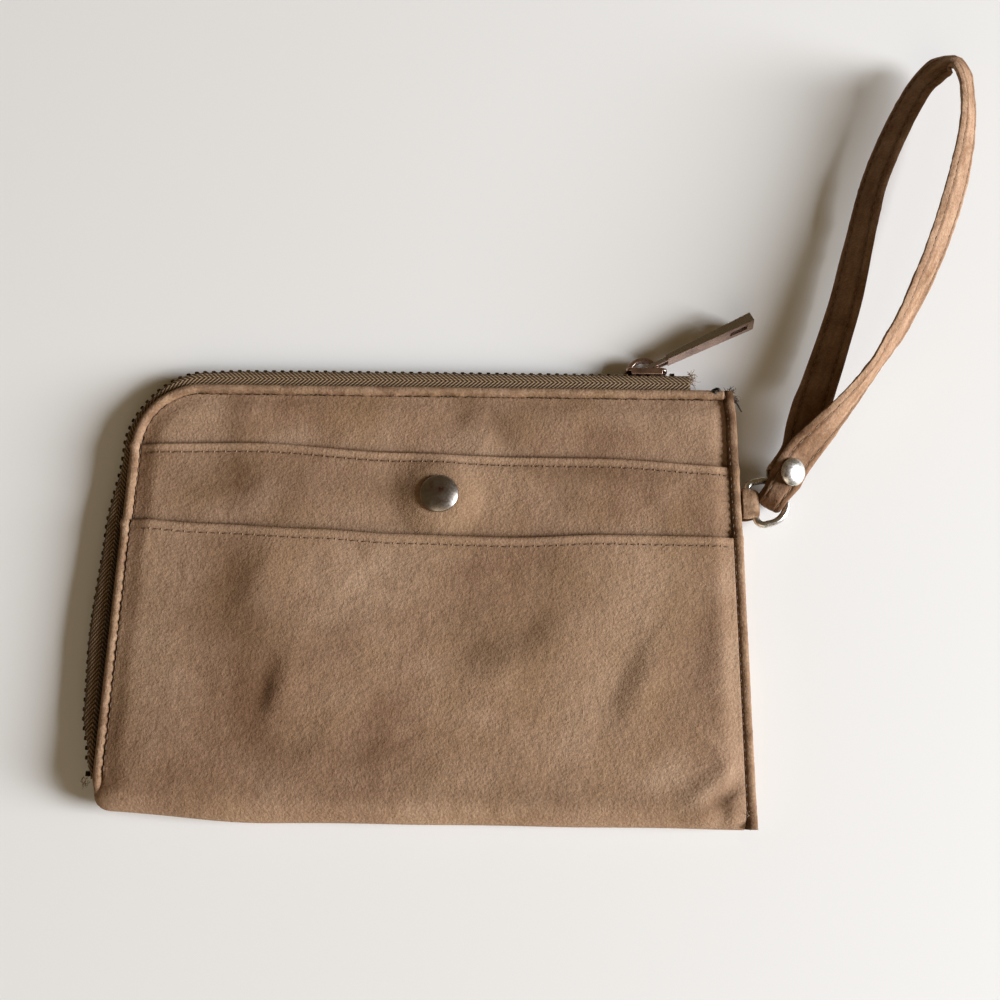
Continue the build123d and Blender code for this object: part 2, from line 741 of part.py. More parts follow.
with BuildPart() as rivet_base:
    with BuildSketch(rivet_plane.offset(-cap_seat - rivet_base_thickness)):
        Circle(rivet_base_diameter / 2)
    extrude(amount=rivet_base_thickness)
    with BuildSketch(rivet_plane.offset(-cap_seat)):
        Circle(rivet_post_diameter / 2)
    extrude(amount=cap_seat)
save(rivet_base, "rivet_base")
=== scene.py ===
import bpy
import math
import random
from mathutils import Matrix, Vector, noise
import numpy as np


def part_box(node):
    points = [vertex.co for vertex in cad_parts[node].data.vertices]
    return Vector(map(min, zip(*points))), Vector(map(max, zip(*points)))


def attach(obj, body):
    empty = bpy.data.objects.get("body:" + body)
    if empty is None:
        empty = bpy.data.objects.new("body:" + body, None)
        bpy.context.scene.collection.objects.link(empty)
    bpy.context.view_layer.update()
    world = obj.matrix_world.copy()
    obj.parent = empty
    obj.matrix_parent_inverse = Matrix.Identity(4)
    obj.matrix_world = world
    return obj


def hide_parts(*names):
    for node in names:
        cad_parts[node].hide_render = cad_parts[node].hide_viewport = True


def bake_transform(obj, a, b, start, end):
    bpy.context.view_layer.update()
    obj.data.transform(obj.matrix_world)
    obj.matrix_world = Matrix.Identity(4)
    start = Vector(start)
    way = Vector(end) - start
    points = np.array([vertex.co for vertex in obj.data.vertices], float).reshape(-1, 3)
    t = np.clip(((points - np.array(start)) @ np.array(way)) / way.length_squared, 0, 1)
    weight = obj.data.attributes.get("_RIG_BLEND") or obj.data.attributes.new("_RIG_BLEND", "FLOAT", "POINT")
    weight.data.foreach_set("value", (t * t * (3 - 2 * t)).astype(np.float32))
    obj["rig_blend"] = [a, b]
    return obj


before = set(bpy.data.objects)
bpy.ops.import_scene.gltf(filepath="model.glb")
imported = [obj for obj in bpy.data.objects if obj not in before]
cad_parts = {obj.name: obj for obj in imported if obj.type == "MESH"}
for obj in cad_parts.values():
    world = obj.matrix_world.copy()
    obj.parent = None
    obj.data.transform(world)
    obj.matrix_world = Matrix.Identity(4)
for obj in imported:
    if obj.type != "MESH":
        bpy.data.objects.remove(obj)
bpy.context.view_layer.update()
scene = bpy.context.scene
mm = 0.001
print("frame loaded")

# ---- camera, light and floor

studio = {
    "cameraPlace": (0.0228, -0.0567, 0.3288),
    "cameraTurn": (15.3, 0.0, 0.78),      # degrees
    "lens": 36.9,
    "keyPlace": (3.68, -0.55, 1.36),      # a tall window at the right
    "keySize": (1.6, 1.7),
    "keyPower": 455.0,
    "keyColour": "#eff4ff",
    "fillPlace": (0.0, -2.3, 1.4),        # daylight off a wall on the near side
    "fillSize": (2.4, 1.8),
    "fillPower": 17.0,
    "fillColour": "#fff0dc",
    "skyColour": "#ffd9a0",
    "skyStrength": 0.12,
    "floorColour": "#e3e1da",
    "floorSize": 3.0,
}


def hexColour(code):
    # sRGB hex to the linear colour that shaders and lights take
    channels = [int(code[place:place + 2], 16) / 255 for place in (1, 3, 5)]
    linear = [c / 12.92 if c <= 0.04045 else ((c + 0.055) / 1.055) ** 2.4 for c in channels]
    return (*linear, 1.0)


def wire(tree, node, inputs):
    # inputs maps a socket to a value or to another node's output
    for socket, value in inputs.items():
        if isinstance(value, bpy.types.NodeSocket):
            tree.links.new(value, node.inputs[socket])
        else:
            node.inputs[socket].default_value = value


def addNode(tree, kind, inputs=None, stops=None, **settings):
    node = tree.nodes.new("ShaderNode" + kind)
    for name, value in settings.items():
        setattr(node, name, value)
    wire(tree, node, inputs or {})
    for number, (place, colour) in enumerate(stops or []):
        elements = node.color_ramp.elements
        element = elements[number] if number < len(elements) else elements.new(place)
        element.position = place
        element.color = colour
    return node


def newMaterial(name):
    material = bpy.data.materials.new(name)
    material.use_nodes = True
    tree = material.node_tree
    return material, tree, tree.nodes["Principled BSDF"]


def areaLight(name, place, size, power, colour, target=(0.04, 0.03, 0.0)):
    light = bpy.data.objects.new(name, bpy.data.lights.new(name, "AREA"))
    scene.collection.objects.link(light)
    light.data.shape = "RECTANGLE"
    light.data.size, light.data.size_y = size
    light.data.energy = power
    light.data.color = hexColour(colour)[:3]
    light.location = place
    light.rotation_euler = (Vector(target) - light.location).to_track_quat("-Z", "Y").to_euler()


camera = bpy.data.objects.new("camera", bpy.data.cameras.new("camera"))
scene.collection.objects.link(camera)
camera.location = studio["cameraPlace"]
camera.rotation_euler = [math.radians(angle) for angle in studio["cameraTurn"]]
camera.data.sensor_width = 36
camera.data.lens = studio["lens"]
camera.data.clip_start = 0.01
scene.camera = camera
scene.view_settings.view_transform = "Standard"

areaLight("windowLight", studio["keyPlace"], studio["keySize"], studio["keyPower"], studio["keyColour"])
areaLight("wallLight", studio["fillPlace"], studio["fillSize"], studio["fillPower"], studio["fillColour"])
scene.world = bpy.data.worlds.new("studioSky")
scene.world.use_nodes = True
sky = scene.world.node_tree.nodes["Background"]
sky.inputs["Color"].default_value = hexColour(studio["skyColour"])
sky.inputs["Strength"].default_value = studio["skyStrength"]

floorMesh = bpy.data.meshes.new("floor")
half = studio["floorSize"] / 2
floorCorners = [(-half, -half, 0), (half, -half, 0), (half, half, 0), (-half, half, 0)]
floorMesh.from_pydata(floorCorners, [], [(0, 1, 2, 3)])
floor = bpy.data.objects.new("floor", floorMesh)
scene.collection.objects.link(floor)
floorPaint, floorTree, floorShader = newMaterial("matteTabletop")  # plain and pale, so only the shadow shows
wire(floorTree, floorShader, {"Base Color": hexColour(studio["floorColour"]), "Roughness": 0.7})
floorMesh.materials.append(floorPaint)
print("studio ready")

# ---- materials


def mathNode(tree, operation, *values):
    return addNode(tree, "Math", dict(enumerate(values)), operation=operation).outputs["Value"]


def grain(tree, where, sizeMm, detail, roughness=0.5):
    inputs = {"Vector": where, "Scale": 1000 / sizeMm, "Detail": detail, "Roughness": roughness}
    return addNode(tree, "TexNoise", inputs).outputs["Fac"]


def rescaled(tree, value, before, after=(0.0, 1.0)):
    inputs = {"Value": value, "From Min": before[0], "From Max": before[1],
              "To Min": after[0], "To Max": after[1]}
    return addNode(tree, "MapRange", inputs).outputs["Result"]


def ramp(tree, value, *stops):
    colours = [(place, hexColour(code)) for place, code in stops]
    return addNode(tree, "ValToRGB", {"Fac": value}, stops=colours).outputs["Color"]


def layered(tree, share, under, over, **settings):
    return addNode(tree, "Mix", {0: share, 6: under, 7: over}, data_type="RGBA", **settings).outputs[2]


def masked(tree, attribute, under, code):
    # a colour laid on as far as the mesh's own numbers say
    share = addNode(tree, "Attribute", attribute_name=attribute).outputs["Fac"]
    return layered(tree, share, under, hexColour(code))


def surface(tree, shader, colour, height, strength, depthMm, inputs):
    # the last step of every material: its colour, its fine relief and its other values
    bump = addNode(tree, "Bump", {"Height": height, "Strength": strength, "Distance": depthMm * mm})
    wire(tree, shader, {"Base Color": colour, "Normal": bump.outputs["Normal"], **inputs})


def suedeMaterial(name, look):
    # Suede, buffed split leather: matt, soft, a short nap that reads as fine grain, dark where handled
    material, tree, shader = newMaterial(name)
    where = addNode(tree, "TexCoord").outputs["Object"]
    patches = grain(tree, where, look["patchMm"], 4.0, 0.6)
    blotches = ramp(tree, patches, (0.32, look["dark"]), (0.47, look["middle"]), (0.63, look["light"]))
    tint = rescaled(tree, grain(tree, where, look["tintMm"], 2.0), (0.42, 0.7), (0.0, 0.55))
    olive = layered(tree, tint, blotches, hexColour(look["tint"]))
    # the darkening the mesh carries: real stains, and painted shade in dents, grooves and under lips
    stainedAndShaded = masked(tree, "stainAndShade", olive, look["stainAndShade"])
    rubbed = masked(tree, "rub", stainedAndShaded, look["rubbed"])
    nap = grain(tree, where, look["napMm"], 3.0, 0.65)
    contrast = look["napContrast"]
    shade = rescaled(tree, nap, (0.3, 0.7), (1 - contrast, 1 + contrast))
    grey = addNode(tree, "CombineColor", {0: shade, 1: shade, 2: shade}).outputs["Color"]
    napped = layered(tree, 1.0, rubbed, grey, blend_type="MULTIPLY")
    height = mathNode(tree, "ADD", nap, grain(tree, where, look["clumpMm"], 2.0))
    surface(tree, shader, napped, height, look["bump"], look["napMm"] * 0.4, {
        "Roughness": 0.95, "Specular IOR Level": 0.15, "Sheen Weight": look["sheen"], "Sheen Roughness": 0.45,
        "Sheen Tint": hexColour(look["rubbed"])})
    return material


bodySuede = {
    "light": "#9d7f65",
    "middle": "#8d6f56",
    "dark": "#785a42",
    "tint": "#86694a",        # olive brown where the nap is worn flat
    "stainAndShade": "#4c321b",
    "rubbed": "#ad9074",
    "patchMm": 40.0,
    "tintMm": 24.0,
    "clumpMm": 2.4,
    "napMm": 0.8,             # real nap is 0.2 mm; drawn coarser so that it shows
    "napContrast": 0.2,
    "bump": 0.8,
    "sheen": 0.1,
}
edgeSuede = dict(bodySuede, light="#94775d", middle="#84674e", dark="#6c5039", patchMm=7.0, tintMm=14.0,
                 napContrast=0.26)
strapSuede = dict(bodySuede, light="#8f7057", middle="#7b5b42", dark="#63452b", tint="#72543a",
                  stainAndShade="#452a14", rubbed="#a98a6d", patchMm=12.0, tintMm=9.0, napContrast=0.26)
suede = suedeMaterial("buffedSuede", bodySuede)
suedeEdging = suedeMaterial("suedeEdgeStrip", edgeSuede)
suedeStrap = suedeMaterial("handledSuede", strapSuede)


def threadMaterial(name, colour):
    # Twisted polyester sewing thread: slightly shiny, with its ply showing as fine diagonal bands
    material, tree, shader = newMaterial(name)
    where = addNode(tree, "TexCoord").outputs["Object"]
    bands = {"Vector": where, "Scale": 1400.0, "Distortion": 2.0}
    ply = addNode(tree, "TexWave", bands, bands_direction="DIAGONAL").outputs["Fac"]
    between = [c * 0.6 for c in hexColour(colour)[:3]] + [1.0]
    shade = addNode(tree, "ValToRGB", {"Fac": ply}, stops=[(0.1, between), (0.9, hexColour(colour))])
    surface(tree, shader, shade.outputs["Color"], ply, 0.4, 0.1, {"Roughness": 0.65})
    return material


darkThread = threadMaterial("darkPolyesterThread", "#5a422c")
tanThread = threadMaterial("tanPolyesterThread", "#8f7559")
blackThread = threadMaterial("blackPolyesterThread", "#221e19")


def tapeMaterial(name, look):
    # Woven polyester zip tape: chevron twill, each rib a row of small bright loops, dull between
    material, tree, shader = newMaterial(name)
    place = addNode(tree, "SeparateXYZ", {0: addNode(tree, "UVMap", uv_map="alongAndAcross").outputs["UV"]})
    along, across = place.outputs["X"], place.outputs["Y"]   # millimetres
    fromRidge = mathNode(tree, "ABSOLUTE", mathNode(tree, "SUBTRACT", across, look["ridgeMm"]))
    slant = mathNode(tree, "MULTIPLY_ADD", fromRidge, look["slant"], along)
    ribs = mathNode(tree, "SINE", mathNode(tree, "MULTIPLY", slant, 2 * math.pi / look["ribMm"]))
    yarns = mathNode(tree, "SINE", mathNode(tree, "MULTIPLY", across, 2 * math.pi / look["yarnMm"]))
    level = rescaled(tree, mathNode(tree, "MULTIPLY_ADD", yarns, 0.45, ribs), (-1.3, 1.3))
    shade = ramp(tree, level, (0.2, look["gap"]), (0.6, look["yarn"]), (0.95, look["loop"]))
    # painted shade in the tape's valley and a darker edge, laid on as far as the mesh's numbers say
    surface(tree, shader, masked(tree, "valleyShadeAndEdge", shade, look["edge"]), level, 0.9, 0.35, {"Roughness": 0.8})
    return material


zipTape = tapeMaterial("twillZipTape", {
    "gap": "#46321d", "yarn": "#6b5338", "loop": "#a0855f", "edge": "#2c1e10",
    "ribMm": 1.45,
    "yarnMm": 0.6,            # real yarns are 0.3 mm apart; drawn coarser so that they show
    "slant": 1.3,
    "ridgeMm": 2.6,
})


def liningMaterial(name):
    # Plain woven polyester lining: thin, slightly shiny, a fine square weave
    material, tree, shader = newMaterial(name)
    where = addNode(tree, "TexCoord").outputs["Object"]
    yarns = {"Vector": where, "Scale": 1000 / 1.6}
    warp, weft = [addNode(tree, "TexWave", yarns, bands_direction=way).outputs["Fac"] for way in "XY"]
    weave = mathNode(tree, "MULTIPLY", warp, weft)
    shade = ramp(tree, weave, (0.1, "#4a4136"), (0.8, "#776a5a"))
    surface(tree, shader, shade, weave, 0.3, 0.2, {"Roughness": 0.55})
    return material


lining = liningMaterial("wovenLining")


def metalMaterial(name, look):
    # Plated metal: the plate's own colour, with tarnish in patches and fine rub marks in the gloss
    material, tree, shader = newMaterial(name)
    where = addNode(tree, "TexCoord").outputs["Object"]
    patches = grain(tree, where, look["patchMm"], 5.0)
    shade = ramp(tree, patches, (look["from"], look["tarnish"]), (look["to"], look["plate"]))
    # painted reflection on the faces the mesh marks as top, painted highlight on its marked edges, then rust
    topReflection = masked(tree, "topReflection", shade, "#b5aca2")
    rusty = masked(tree, "rust", masked(tree, "edgeHighlight", topReflection, "#f3ddd0"), "#6d3a1f")
    marks = grain(tree, where, 0.7, 4.0)
    gloss = rescaled(tree, marks, (0.3, 0.75), look["gloss"])
    surface(tree, shader, rusty, marks, 0.08, 0.02, {"Roughness": gloss, "Metallic": 1.0})
    return material


antiqueNickel = metalMaterial("antiqueNickel", {"plate": "#a29a90", "tarnish": "#8a7f74", "patchMm": 4.0,
                                                "from": 0.3, "to": 0.6, "gloss": (0.28, 0.4)})
brightNickel = metalMaterial("brightNickel", {"plate": "#dcd8d0", "tarnish": "#a8a297", "patchMm": 2.2,
                                              "from": 0.3, "to": 0.5, "gloss": (0.24, 0.33)})
gunmetal = metalMaterial("copperyGunmetal", {"plate": "#c3a698", "tarnish": "#9a8278", "patchMm": 6.0,
                                             "from": 0.3, "to": 0.6, "gloss": (0.24, 0.34)})
antiqueBrass = metalMaterial("darkAntiqueBrass", {"plate": "#6d573c", "tarnish": "#33271a", "patchMm": 1.5,
                                                  "from": 0.4, "to": 0.62, "gloss": (0.3, 0.5)})
print("materials ready")

# ---- mesh helpers


def smooth(t):
    t = min(1.0, max(0.0, t))
    return t * t * (3 - 2 * t)


def mix(a, b, t):
    return a + (b - a) * t


def newPiece(name, points, faces, material, slotName, body=None, replaced=(), flat=False):
    # points in millimetres
    mesh = bpy.data.meshes.new(name)
    mesh.from_pydata([(x * mm, y * mm, z * mm) for x, y, z in points], [], faces)
    mesh.validate()
    mesh.materials.append(material)
    if not flat:
        mesh.shade_smooth()
    piece = bpy.data.objects.new(name, mesh)
    scene.collection.objects.link(piece)
    if replaced:
        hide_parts(*replaced)
    if body:
        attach(piece, body)
    return piece


def applyModifiers(piece):
    graph = bpy.context.evaluated_depsgraph_get()
    piece.data = bpy.data.meshes.new_from_object(piece.evaluated_get(graph))
    piece.modifiers.clear()


def roundEdges(piece, width, angle=50.0, segments=3):
    bevel = piece.modifiers.new("roundEdges", "BEVEL")
    bevel.width = width * mm
    bevel.segments = segments
    bevel.limit_method = "ANGLE"
    bevel.angle_limit = math.radians(angle)
    applyModifiers(piece)


def paintValues(piece, name, values):
    # one number per vertex
    attribute = piece.data.attributes.get(name) or piece.data.attributes.new(name, "FLOAT", "POINT")
    attribute.data.foreach_set("value", values)


def paint(piece, name, valueAt):
    # the same, worked out from the vertex's place in millimetres
    paintValues(piece, name, [valueAt(*(v.co / mm)) for v in piece.data.vertices])


def gridFaces(rows, columns, start=0, closed=False):
    # quads over rows x columns points; closed joins the last column to the first
    faces = []
    for row in range(rows - 1):
        for column in range(columns if closed else columns - 1):
            after = (column + 1) % columns
            a, b = start + row * columns, start + (row + 1) * columns
            faces.append((a + column, a + after, b + after, b + column))
    return faces


def sweptFaces(rings, columns):
    # the skin of a closed section carried along, with both ends capped
    last = (rings - 1) * columns
    caps = [tuple(reversed(range(columns))), tuple(last + c for c in range(columns))]
    return gridFaces(rings, columns, closed=True) + caps


def leatherSheet(name, outer, inner, material, slotName, lip=0.35):
    # a closed ply from two grids of points, outer and inner skin, with rounded rims
    rows, columns = len(outer), len(outer[0])
    points = [p for row in outer for p in row] + [p for row in inner for p in row]
    count = rows * columns
    faces = gridFaces(rows, columns)
    faces += [tuple(reversed(face)) for face in gridFaces(rows, columns, count)]
    rim = [(0, c) for c in range(columns)] + [(r, columns - 1) for r in range(1, rows)]
    rim += [(rows - 1, c) for c in range(columns - 2, -1, -1)] + [(r, 0) for r in range(rows - 2, 0, -1)]
    for number, (row, column) in enumerate(rim):
        nextRow, nextColumn = rim[(number + 1) % len(rim)]
        a, b = row * columns + column, nextRow * columns + nextColumn
        faces.append((b, a, a + count, b + count))
    piece = newPiece(name, points, faces, material, slotName)
    roundEdges(piece, lip)
    return piece


def offsetGrid(grid, depth):
    # the same grid moved inwards along its own normals
    rows, columns = len(grid), len(grid[0])
    moved = []
    for row in range(rows):
        line = []
        for column in range(columns):
            p = Vector(grid[row][column])
            across = Vector(grid[row][min(column + 1, columns - 1)]) - Vector(grid[row][max(column - 1, 0)])
            along = Vector(grid[min(row + 1, rows - 1)][column]) - Vector(grid[max(row - 1, 0)][column])
            line.append(tuple(p - across.cross(along).normalized() * depth))
        moved.append(line)
    return moved


def tubeAlong(path, radius, sides, closed=False):
    # points and faces of a round tube; radius is a number or a function of the share of the way
    points, faces = [], []
    count = len(path)
    up = Vector((0, 0, 1))
    for number, place in enumerate(path):
        before = path[(number - 1) % count] if closed or number else place
        after = path[(number + 1) % count] if closed or number < count - 1 else place
        tangent = (Vector(after) - Vector(before)).normalized()
        side = tangent.cross(up)
        side = side.normalized() if side.length > 0.05 else Vector((1, 0, 0))
        top = side.cross(tangent).normalized()
        size = radius(number / max(1, count - 1)) if callable(radius) else radius
        for step in range(sides):
            angle = 2 * math.pi * step / sides
            outwards = side * math.cos(angle) * size + top * math.sin(angle) * size
            points.append(tuple(Vector(place) + outwards))
    faces = gridFaces(count, sides, closed=True)
    if closed:
        last = (count - 1) * sides
        faces += [(last + s, last + (s + 1) % sides, (s + 1) % sides, s) for s in range(sides)]
    else:
        faces.append(tuple(range(sides)))
        faces.append(tuple(reversed(range((count - 1) * sides, count * sides))))
    return points, faces


def joined(parts):
    points, faces = [], []
    for somePoints, someFaces in parts:
        start = len(points)
        points += somePoints
        faces += [tuple(start + corner for corner in face) for face in someFaces]
    return points, faces


# ---- the bag's own shape, in millimetres

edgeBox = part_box("edging_front")
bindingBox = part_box("side_binding")
bag = {
    "left": edgeBox[0].x / mm,
    "right": bindingBox[1].x / mm,
    "bottom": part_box("shell_back")[0].y / mm,
    "top": edgeBox[1].y / mm,
    "corner": 21.5,
    "edging": 3.2,
    "binding": 3.5,
    "leather": 1.0,
    "hem": 3.0,               # from a pocket's mouth down to its stitches
    "panelTop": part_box("front_panel")[1].z / mm,
    "middleTop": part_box("middle_pocket")[0].z / mm + 1.0,
    "outerTop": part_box("outer_pocket")[1].z / mm,
    "seamDip": 0.7,           # how far the plies are pressed down at the side seams
    "seamWidth": 7.0,
}
innerLeft = bag["left"] + bag["edging"] + 0.1
innerRight = bag["right"] - bag["binding"] - 0.1
innerTop = bag["top"] - bag["edging"] - 0.1
innerCorner = bag["corner"] - bag["edging"]
snapX, snapY = 2.0, bag["top"] - 38.0

# soft folds: x, y, half length, half width, angle from +X, height
folds = [
    (-50, -31, 9, 3.2, 80, -0.55), (-44, -30, 13, 4.5, 75, 0.35), (-62, 2, 14, 5, 80, -0.4),
    (-53, 6, 16, 6, 70, 0.35), (16, -18, 14, 6, 30, -0.35), (33, -12, 12, 5, 60, -0.35),
    (24, -24, 15, 5, 45, 0.35), (59, -29, 13, 5, 70, -0.45), (68, -24, 17, 5, 62, 0.4),
    (84, -18, 12, 5, 85, -0.35), (52, -42, 22, 5, 50, 0.35), (45, -50, 15, 5, 45, -0.3),
    (91, -60, 8, 2.2, 35, -1.1), (84, -59, 12, 3.0, 40, 0.8), (96, -54, 8, 4, 80, 0.5),
    (-7, -54, 26, 6, 10, -0.25), (-90, -50, 12, 4, 60, -0.25), (8, 60, 10, 3.2, 65, -0.35),
    (21, 55, 10, 3.2, 118, -0.35), (15, 52, 8, 3.5, 90, 0.35), (-64, 34, 10, 5, 85, -0.3),
    (-43, 33, 10, 6, 80, 0.25), (41, 33, 12, 6, 70, -0.3), (-64, 58, 14, 4, 100, 0.3),
    (45, 61, 14, 4, 80, 0.25), (72, 58, 11, 5, 60, -0.25), (-30, -45, 16, 5, 60, 0.3),
    (-80, -22, 14, 5, 100, 0.25), (75, 33, 12, 5, 95, 0.25), (-22, 60, 12, 5, 75, -0.2),
]
# darker marks, partly real stains and partly painted shade laid in the dents of the folds: x, y, half length,
# half width, angle, strength
stainsAndDentShade = [
    (-72, 37, 22, 9, 0, 0.22), (-78, 0, 30, 22, 90, 0.25), (-80, -45, 24, 20, 90, 0.2),
    (-10, 36, 30, 7, 0, 0.15), (40, 0, 20, 12, 30, 0.15), (-50, -31, 9, 4, 80, 0.75),
    (-62, 3, 17, 7, 85, 0.4), (-54, -10, 14, 6, 75, 0.3), (16, -19, 10, 6, 20, 0.35),
    (32, -13, 9, 5, 60, 0.35), (14, -10, 12, 9, 0, 0.25), (36, 11, 10, 5, 80, 0.3),
    (60, -30, 14, 5, 70, 0.35), (84, -18, 16, 7, 85, 0.3), (-48, -52, 12, 6, 100, 0.3),
    (-64, 36, 11, 7, 90, 0.4), (-43, 33, 9, 8, 80, 0.2), (41, 34, 14, 7, 60, 0.25), (8, 62, 12, 5, 60, 0.3),
    (21, 54, 9, 5, 120, 0.3), (72, 62, 16, 6, 30, 0.25), (-65, 60, 12, 6, 100, 0.25),
    (88, -62, 9, 4, 40, 0.5), (-93, -46, 14, 6, 90, 0.2), (-20, -50, 26, 7, 0, 0.25),
    (40, -62, 40, 5, 0, 0.25), (30, 60, 22, 5, 10, 0.2), (-30, 20, 40, 3, 0, 0.2),
    (60, 40, 30, 3, -4, 0.25),
]
# places rubbed lighter
rubs = [
    (-20, 3, 22, 12, 20, 0.35), (25, -60, 45, 6, 0, 0.2), (60, 60, 20, 6, 0, 0.15),
    (-48, 51, 8, 4, 10, 0.55), (73, -54, 7, 5, 40, 0.55), (66, -2, 26, 14, 70, 0.35),
    (-20, 5, 26, 16, 40, 0.3), (-86, -6, 9, 30, 0, 0.25), (95, -10, 4, 40, 0, 0.4),
    (84, -59, 11, 3, 40, 0.5), (15, 51, 6, 6, 90, 0.35), (48, -36, 20, 8, 50, 0.25),
    (0, -66, 60, 3, 0, 0.3), (-80, 58, 9, 9, 45, 0.25), (80, 55, 12, 10, 0, 0.2),
]


def spots(x, y, marks):
    total = 0.0
    for centreX, centreY, length, width, angle, strength in marks:
        dx, dy = x - centreX, y - centreY
        if abs(dx) + abs(dy) > 4 * max(length, width):
            continue
        turn = math.radians(angle)
        u = (dx * math.cos(turn) + dy * math.sin(turn)) / length
        v = (dy * math.cos(turn) - dx * math.sin(turn)) / width
        total += strength * math.exp(-(u * u + v * v))
    return total


def waves(x, y, size, seed):
    return noise.noise(Vector((x / size, y / size, seed)))


def topEdgeAt(x, inset=0.0):
    # height of the rounded outline at x
    left = innerLeft + inset
    top = innerTop - inset
    radius = innerCorner - inset
    reach = left + radius - x
    if reach <= 0:
        return top
    return top - radius + math.sqrt(max(0.0, radius * radius - min(reach, radius) ** 2))


def bottomAt(x):
    # the fold sags a little between its ends and turns up round its left corner
    corner = min(1.0, max(0.0, 1 - (x - bag["left"]) / 5.5))
    return (bag["bottom"] + 2.6 * (1 - smooth((x - bag["left"]) / 55)) + 0.5 * waves(x, 3, 40, 5)
            + 4.6 * (1 - math.sqrt(1 - corner * corner)))


def besideStrip(x, y):
    # below the zip's foot the leather spreads left over the strip's end
    spread = 1 - smooth((y + 64.5) / 6.5)
    return x - 3.0 * spread * (1 - smooth((x - innerLeft) / 14))


def seamPress(x, y):
    # 0 at a stitched side, 1 away from it
    fromSide = min(x - innerLeft, innerRight - x)
    fromTop = max(0.0, innerTop - y)
    if x < innerLeft + innerCorner and y > innerTop - innerCorner:
        middle = (innerLeft + innerCorner, innerTop - innerCorner)
        fromSide = fromTop = innerCorner - math.hypot(x - middle[0], y - middle[1])
    return smooth((min(fromSide, fromTop) + 0.5) / bag["seamWidth"])


def relief(x, y):
    # wrinkles and puff that all the front plies share
    small = 0.16 * waves(x, y, 17, 1) + 0.09 * waves(x, y, 7, 2) + 0.04 * waves(x, y, 3, 3)
    press = seamPress(x, y)
    return press * (spots(x, y, folds) + small + 0.35) - bag["seamDip"] * (1 - press)


# stains, and painted shade in the dents of the folds, with a blurred edge
def stainAndDentShadeAt(x, y, z):
    blur = 0.22 * (waves(x, y, 5, 8) + 0.5 * waves(x, y, 2, 9))
    amount = spots(x, y, stainsAndDentShade) * (1 + blur)
    return min(0.9, max(0.0, amount))


def shadeAboveLip(x, y, mouth):
    # painted shade: a dark line on the leather just above a pocket's lip, under the lip's edge
    above = y - mouth(x)
    return 0.85 * smooth(1 - abs(above - 0.1) / 1.1)


def rubAt(x, y, z):
    return min(0.8, max(0.0, spots(x, y, rubs) * (1 + 0.6 * waves(x, y, 6, 12))))


def mouthLine(points):
    # a mouth's height at x, smooth through given points
    def at(x):
        for (x0, y0), (x1, y1) in zip(points, points[1:]):
            if x <= x1:
                return mix(y0, y1, smooth((x - x0) / (x1 - x0)))
        return points[-1][1]
    return at


middleMouth = mouthLine([(-97, 48.4), (-59, 49.0), (-11, 46.3), (26, 45.3), (54, 45.2), (97, 43.1)])
outerMouth = mouthLine([(-97, 22.6), (-72, 21.2), (-38, 19.9), (-10, 18.5), (26, 17.9), (55, 19.2),
                        (97, 19.0)])


def openShare(x, y):
    # how fully the leather follows a pocket as it opens: not at all at the seams and the fold
    sides = smooth((96.5 - abs(x)) / 46)
    return sides * smooth((y + 62) / 78)


def blendPocket(piece, body):
    # the pockets gape in the middle of their mouths and stay sewn at the sides
    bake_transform(piece, "clutch_body", body, start=(0, -0.062, 0.009), end=(0, 0.018, 0.009))
    paint(piece, "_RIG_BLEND", lambda x, y, z: openShare(x, y) if z > 5.0 else 0.0)


xStops = [innerLeft + (innerRight - innerLeft) * (n / 190) for n in range(191)]


def outerLevel(x, y):
    return bag["outerTop"] + relief(x, y) + 0.5 * smooth(1 - (outerMouth(x) - y) / 5) * seamPress(x, y)


def middleLevel(x, y):
    # rises to the snap, whose socket lies under the leather
    snapRise = 1.75 * (1 - smooth((math.hypot(x - snapX, y - snapY) - 5.6) / 11.0))
    lip = 0.4 * smooth(1 - (middleMouth(x) - y) / 4) * seamPress(x, y)
    return bag["middleTop"] - 0.02 + relief(x, y) * 0.9 + snapRise + lip


def panelLevel(x, y):
    return bag["panelTop"] + relief(x, y) * 0.85


def hemDip(y, mouth, x):
    # the hem's stitches pull the leather in
    return 0.22 * math.exp(-((mouth(x) - bag["hem"] - y) / 0.6) ** 2)


def buildFrontPanel():
    rows, foot, grid = 60, 12.0, []
    for row in range(rows + 1):
        line = [(x, mix(foot, topEdgeAt(x), row / rows)) for x in xStops]
        grid.append([(x, y, panelLevel(x, y)) for x, y in line])
    piece = leatherSheet("frontPanel", grid, offsetGrid(grid, bag["leather"]), suede, "suede")
    paint(piece, "stainAndShade", lambda x, y, z: max(stainAndDentShadeAt(x, y, z), shadeAboveLip(x, y, middleMouth)))
    paint(piece, "rub", rubAt)
    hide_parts("front_panel")
    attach(piece, "clutch_body")


def hemLine(x, y, mouth):
    # the lip's very edge and the sewn line are darker than the leather beside them
    below = mouth(x) - y
    return max(0.6 * smooth(1 - below / 0.55), 0.45 * math.exp(-((below - bag["hem"]) / 0.4) ** 2))


def lipRub(x, y, mouth):
    below = mouth(x) - y
    return 0.3 * smooth((below - 0.5) / 0.6) * smooth(1 - (below - 1.4) / 1.2)


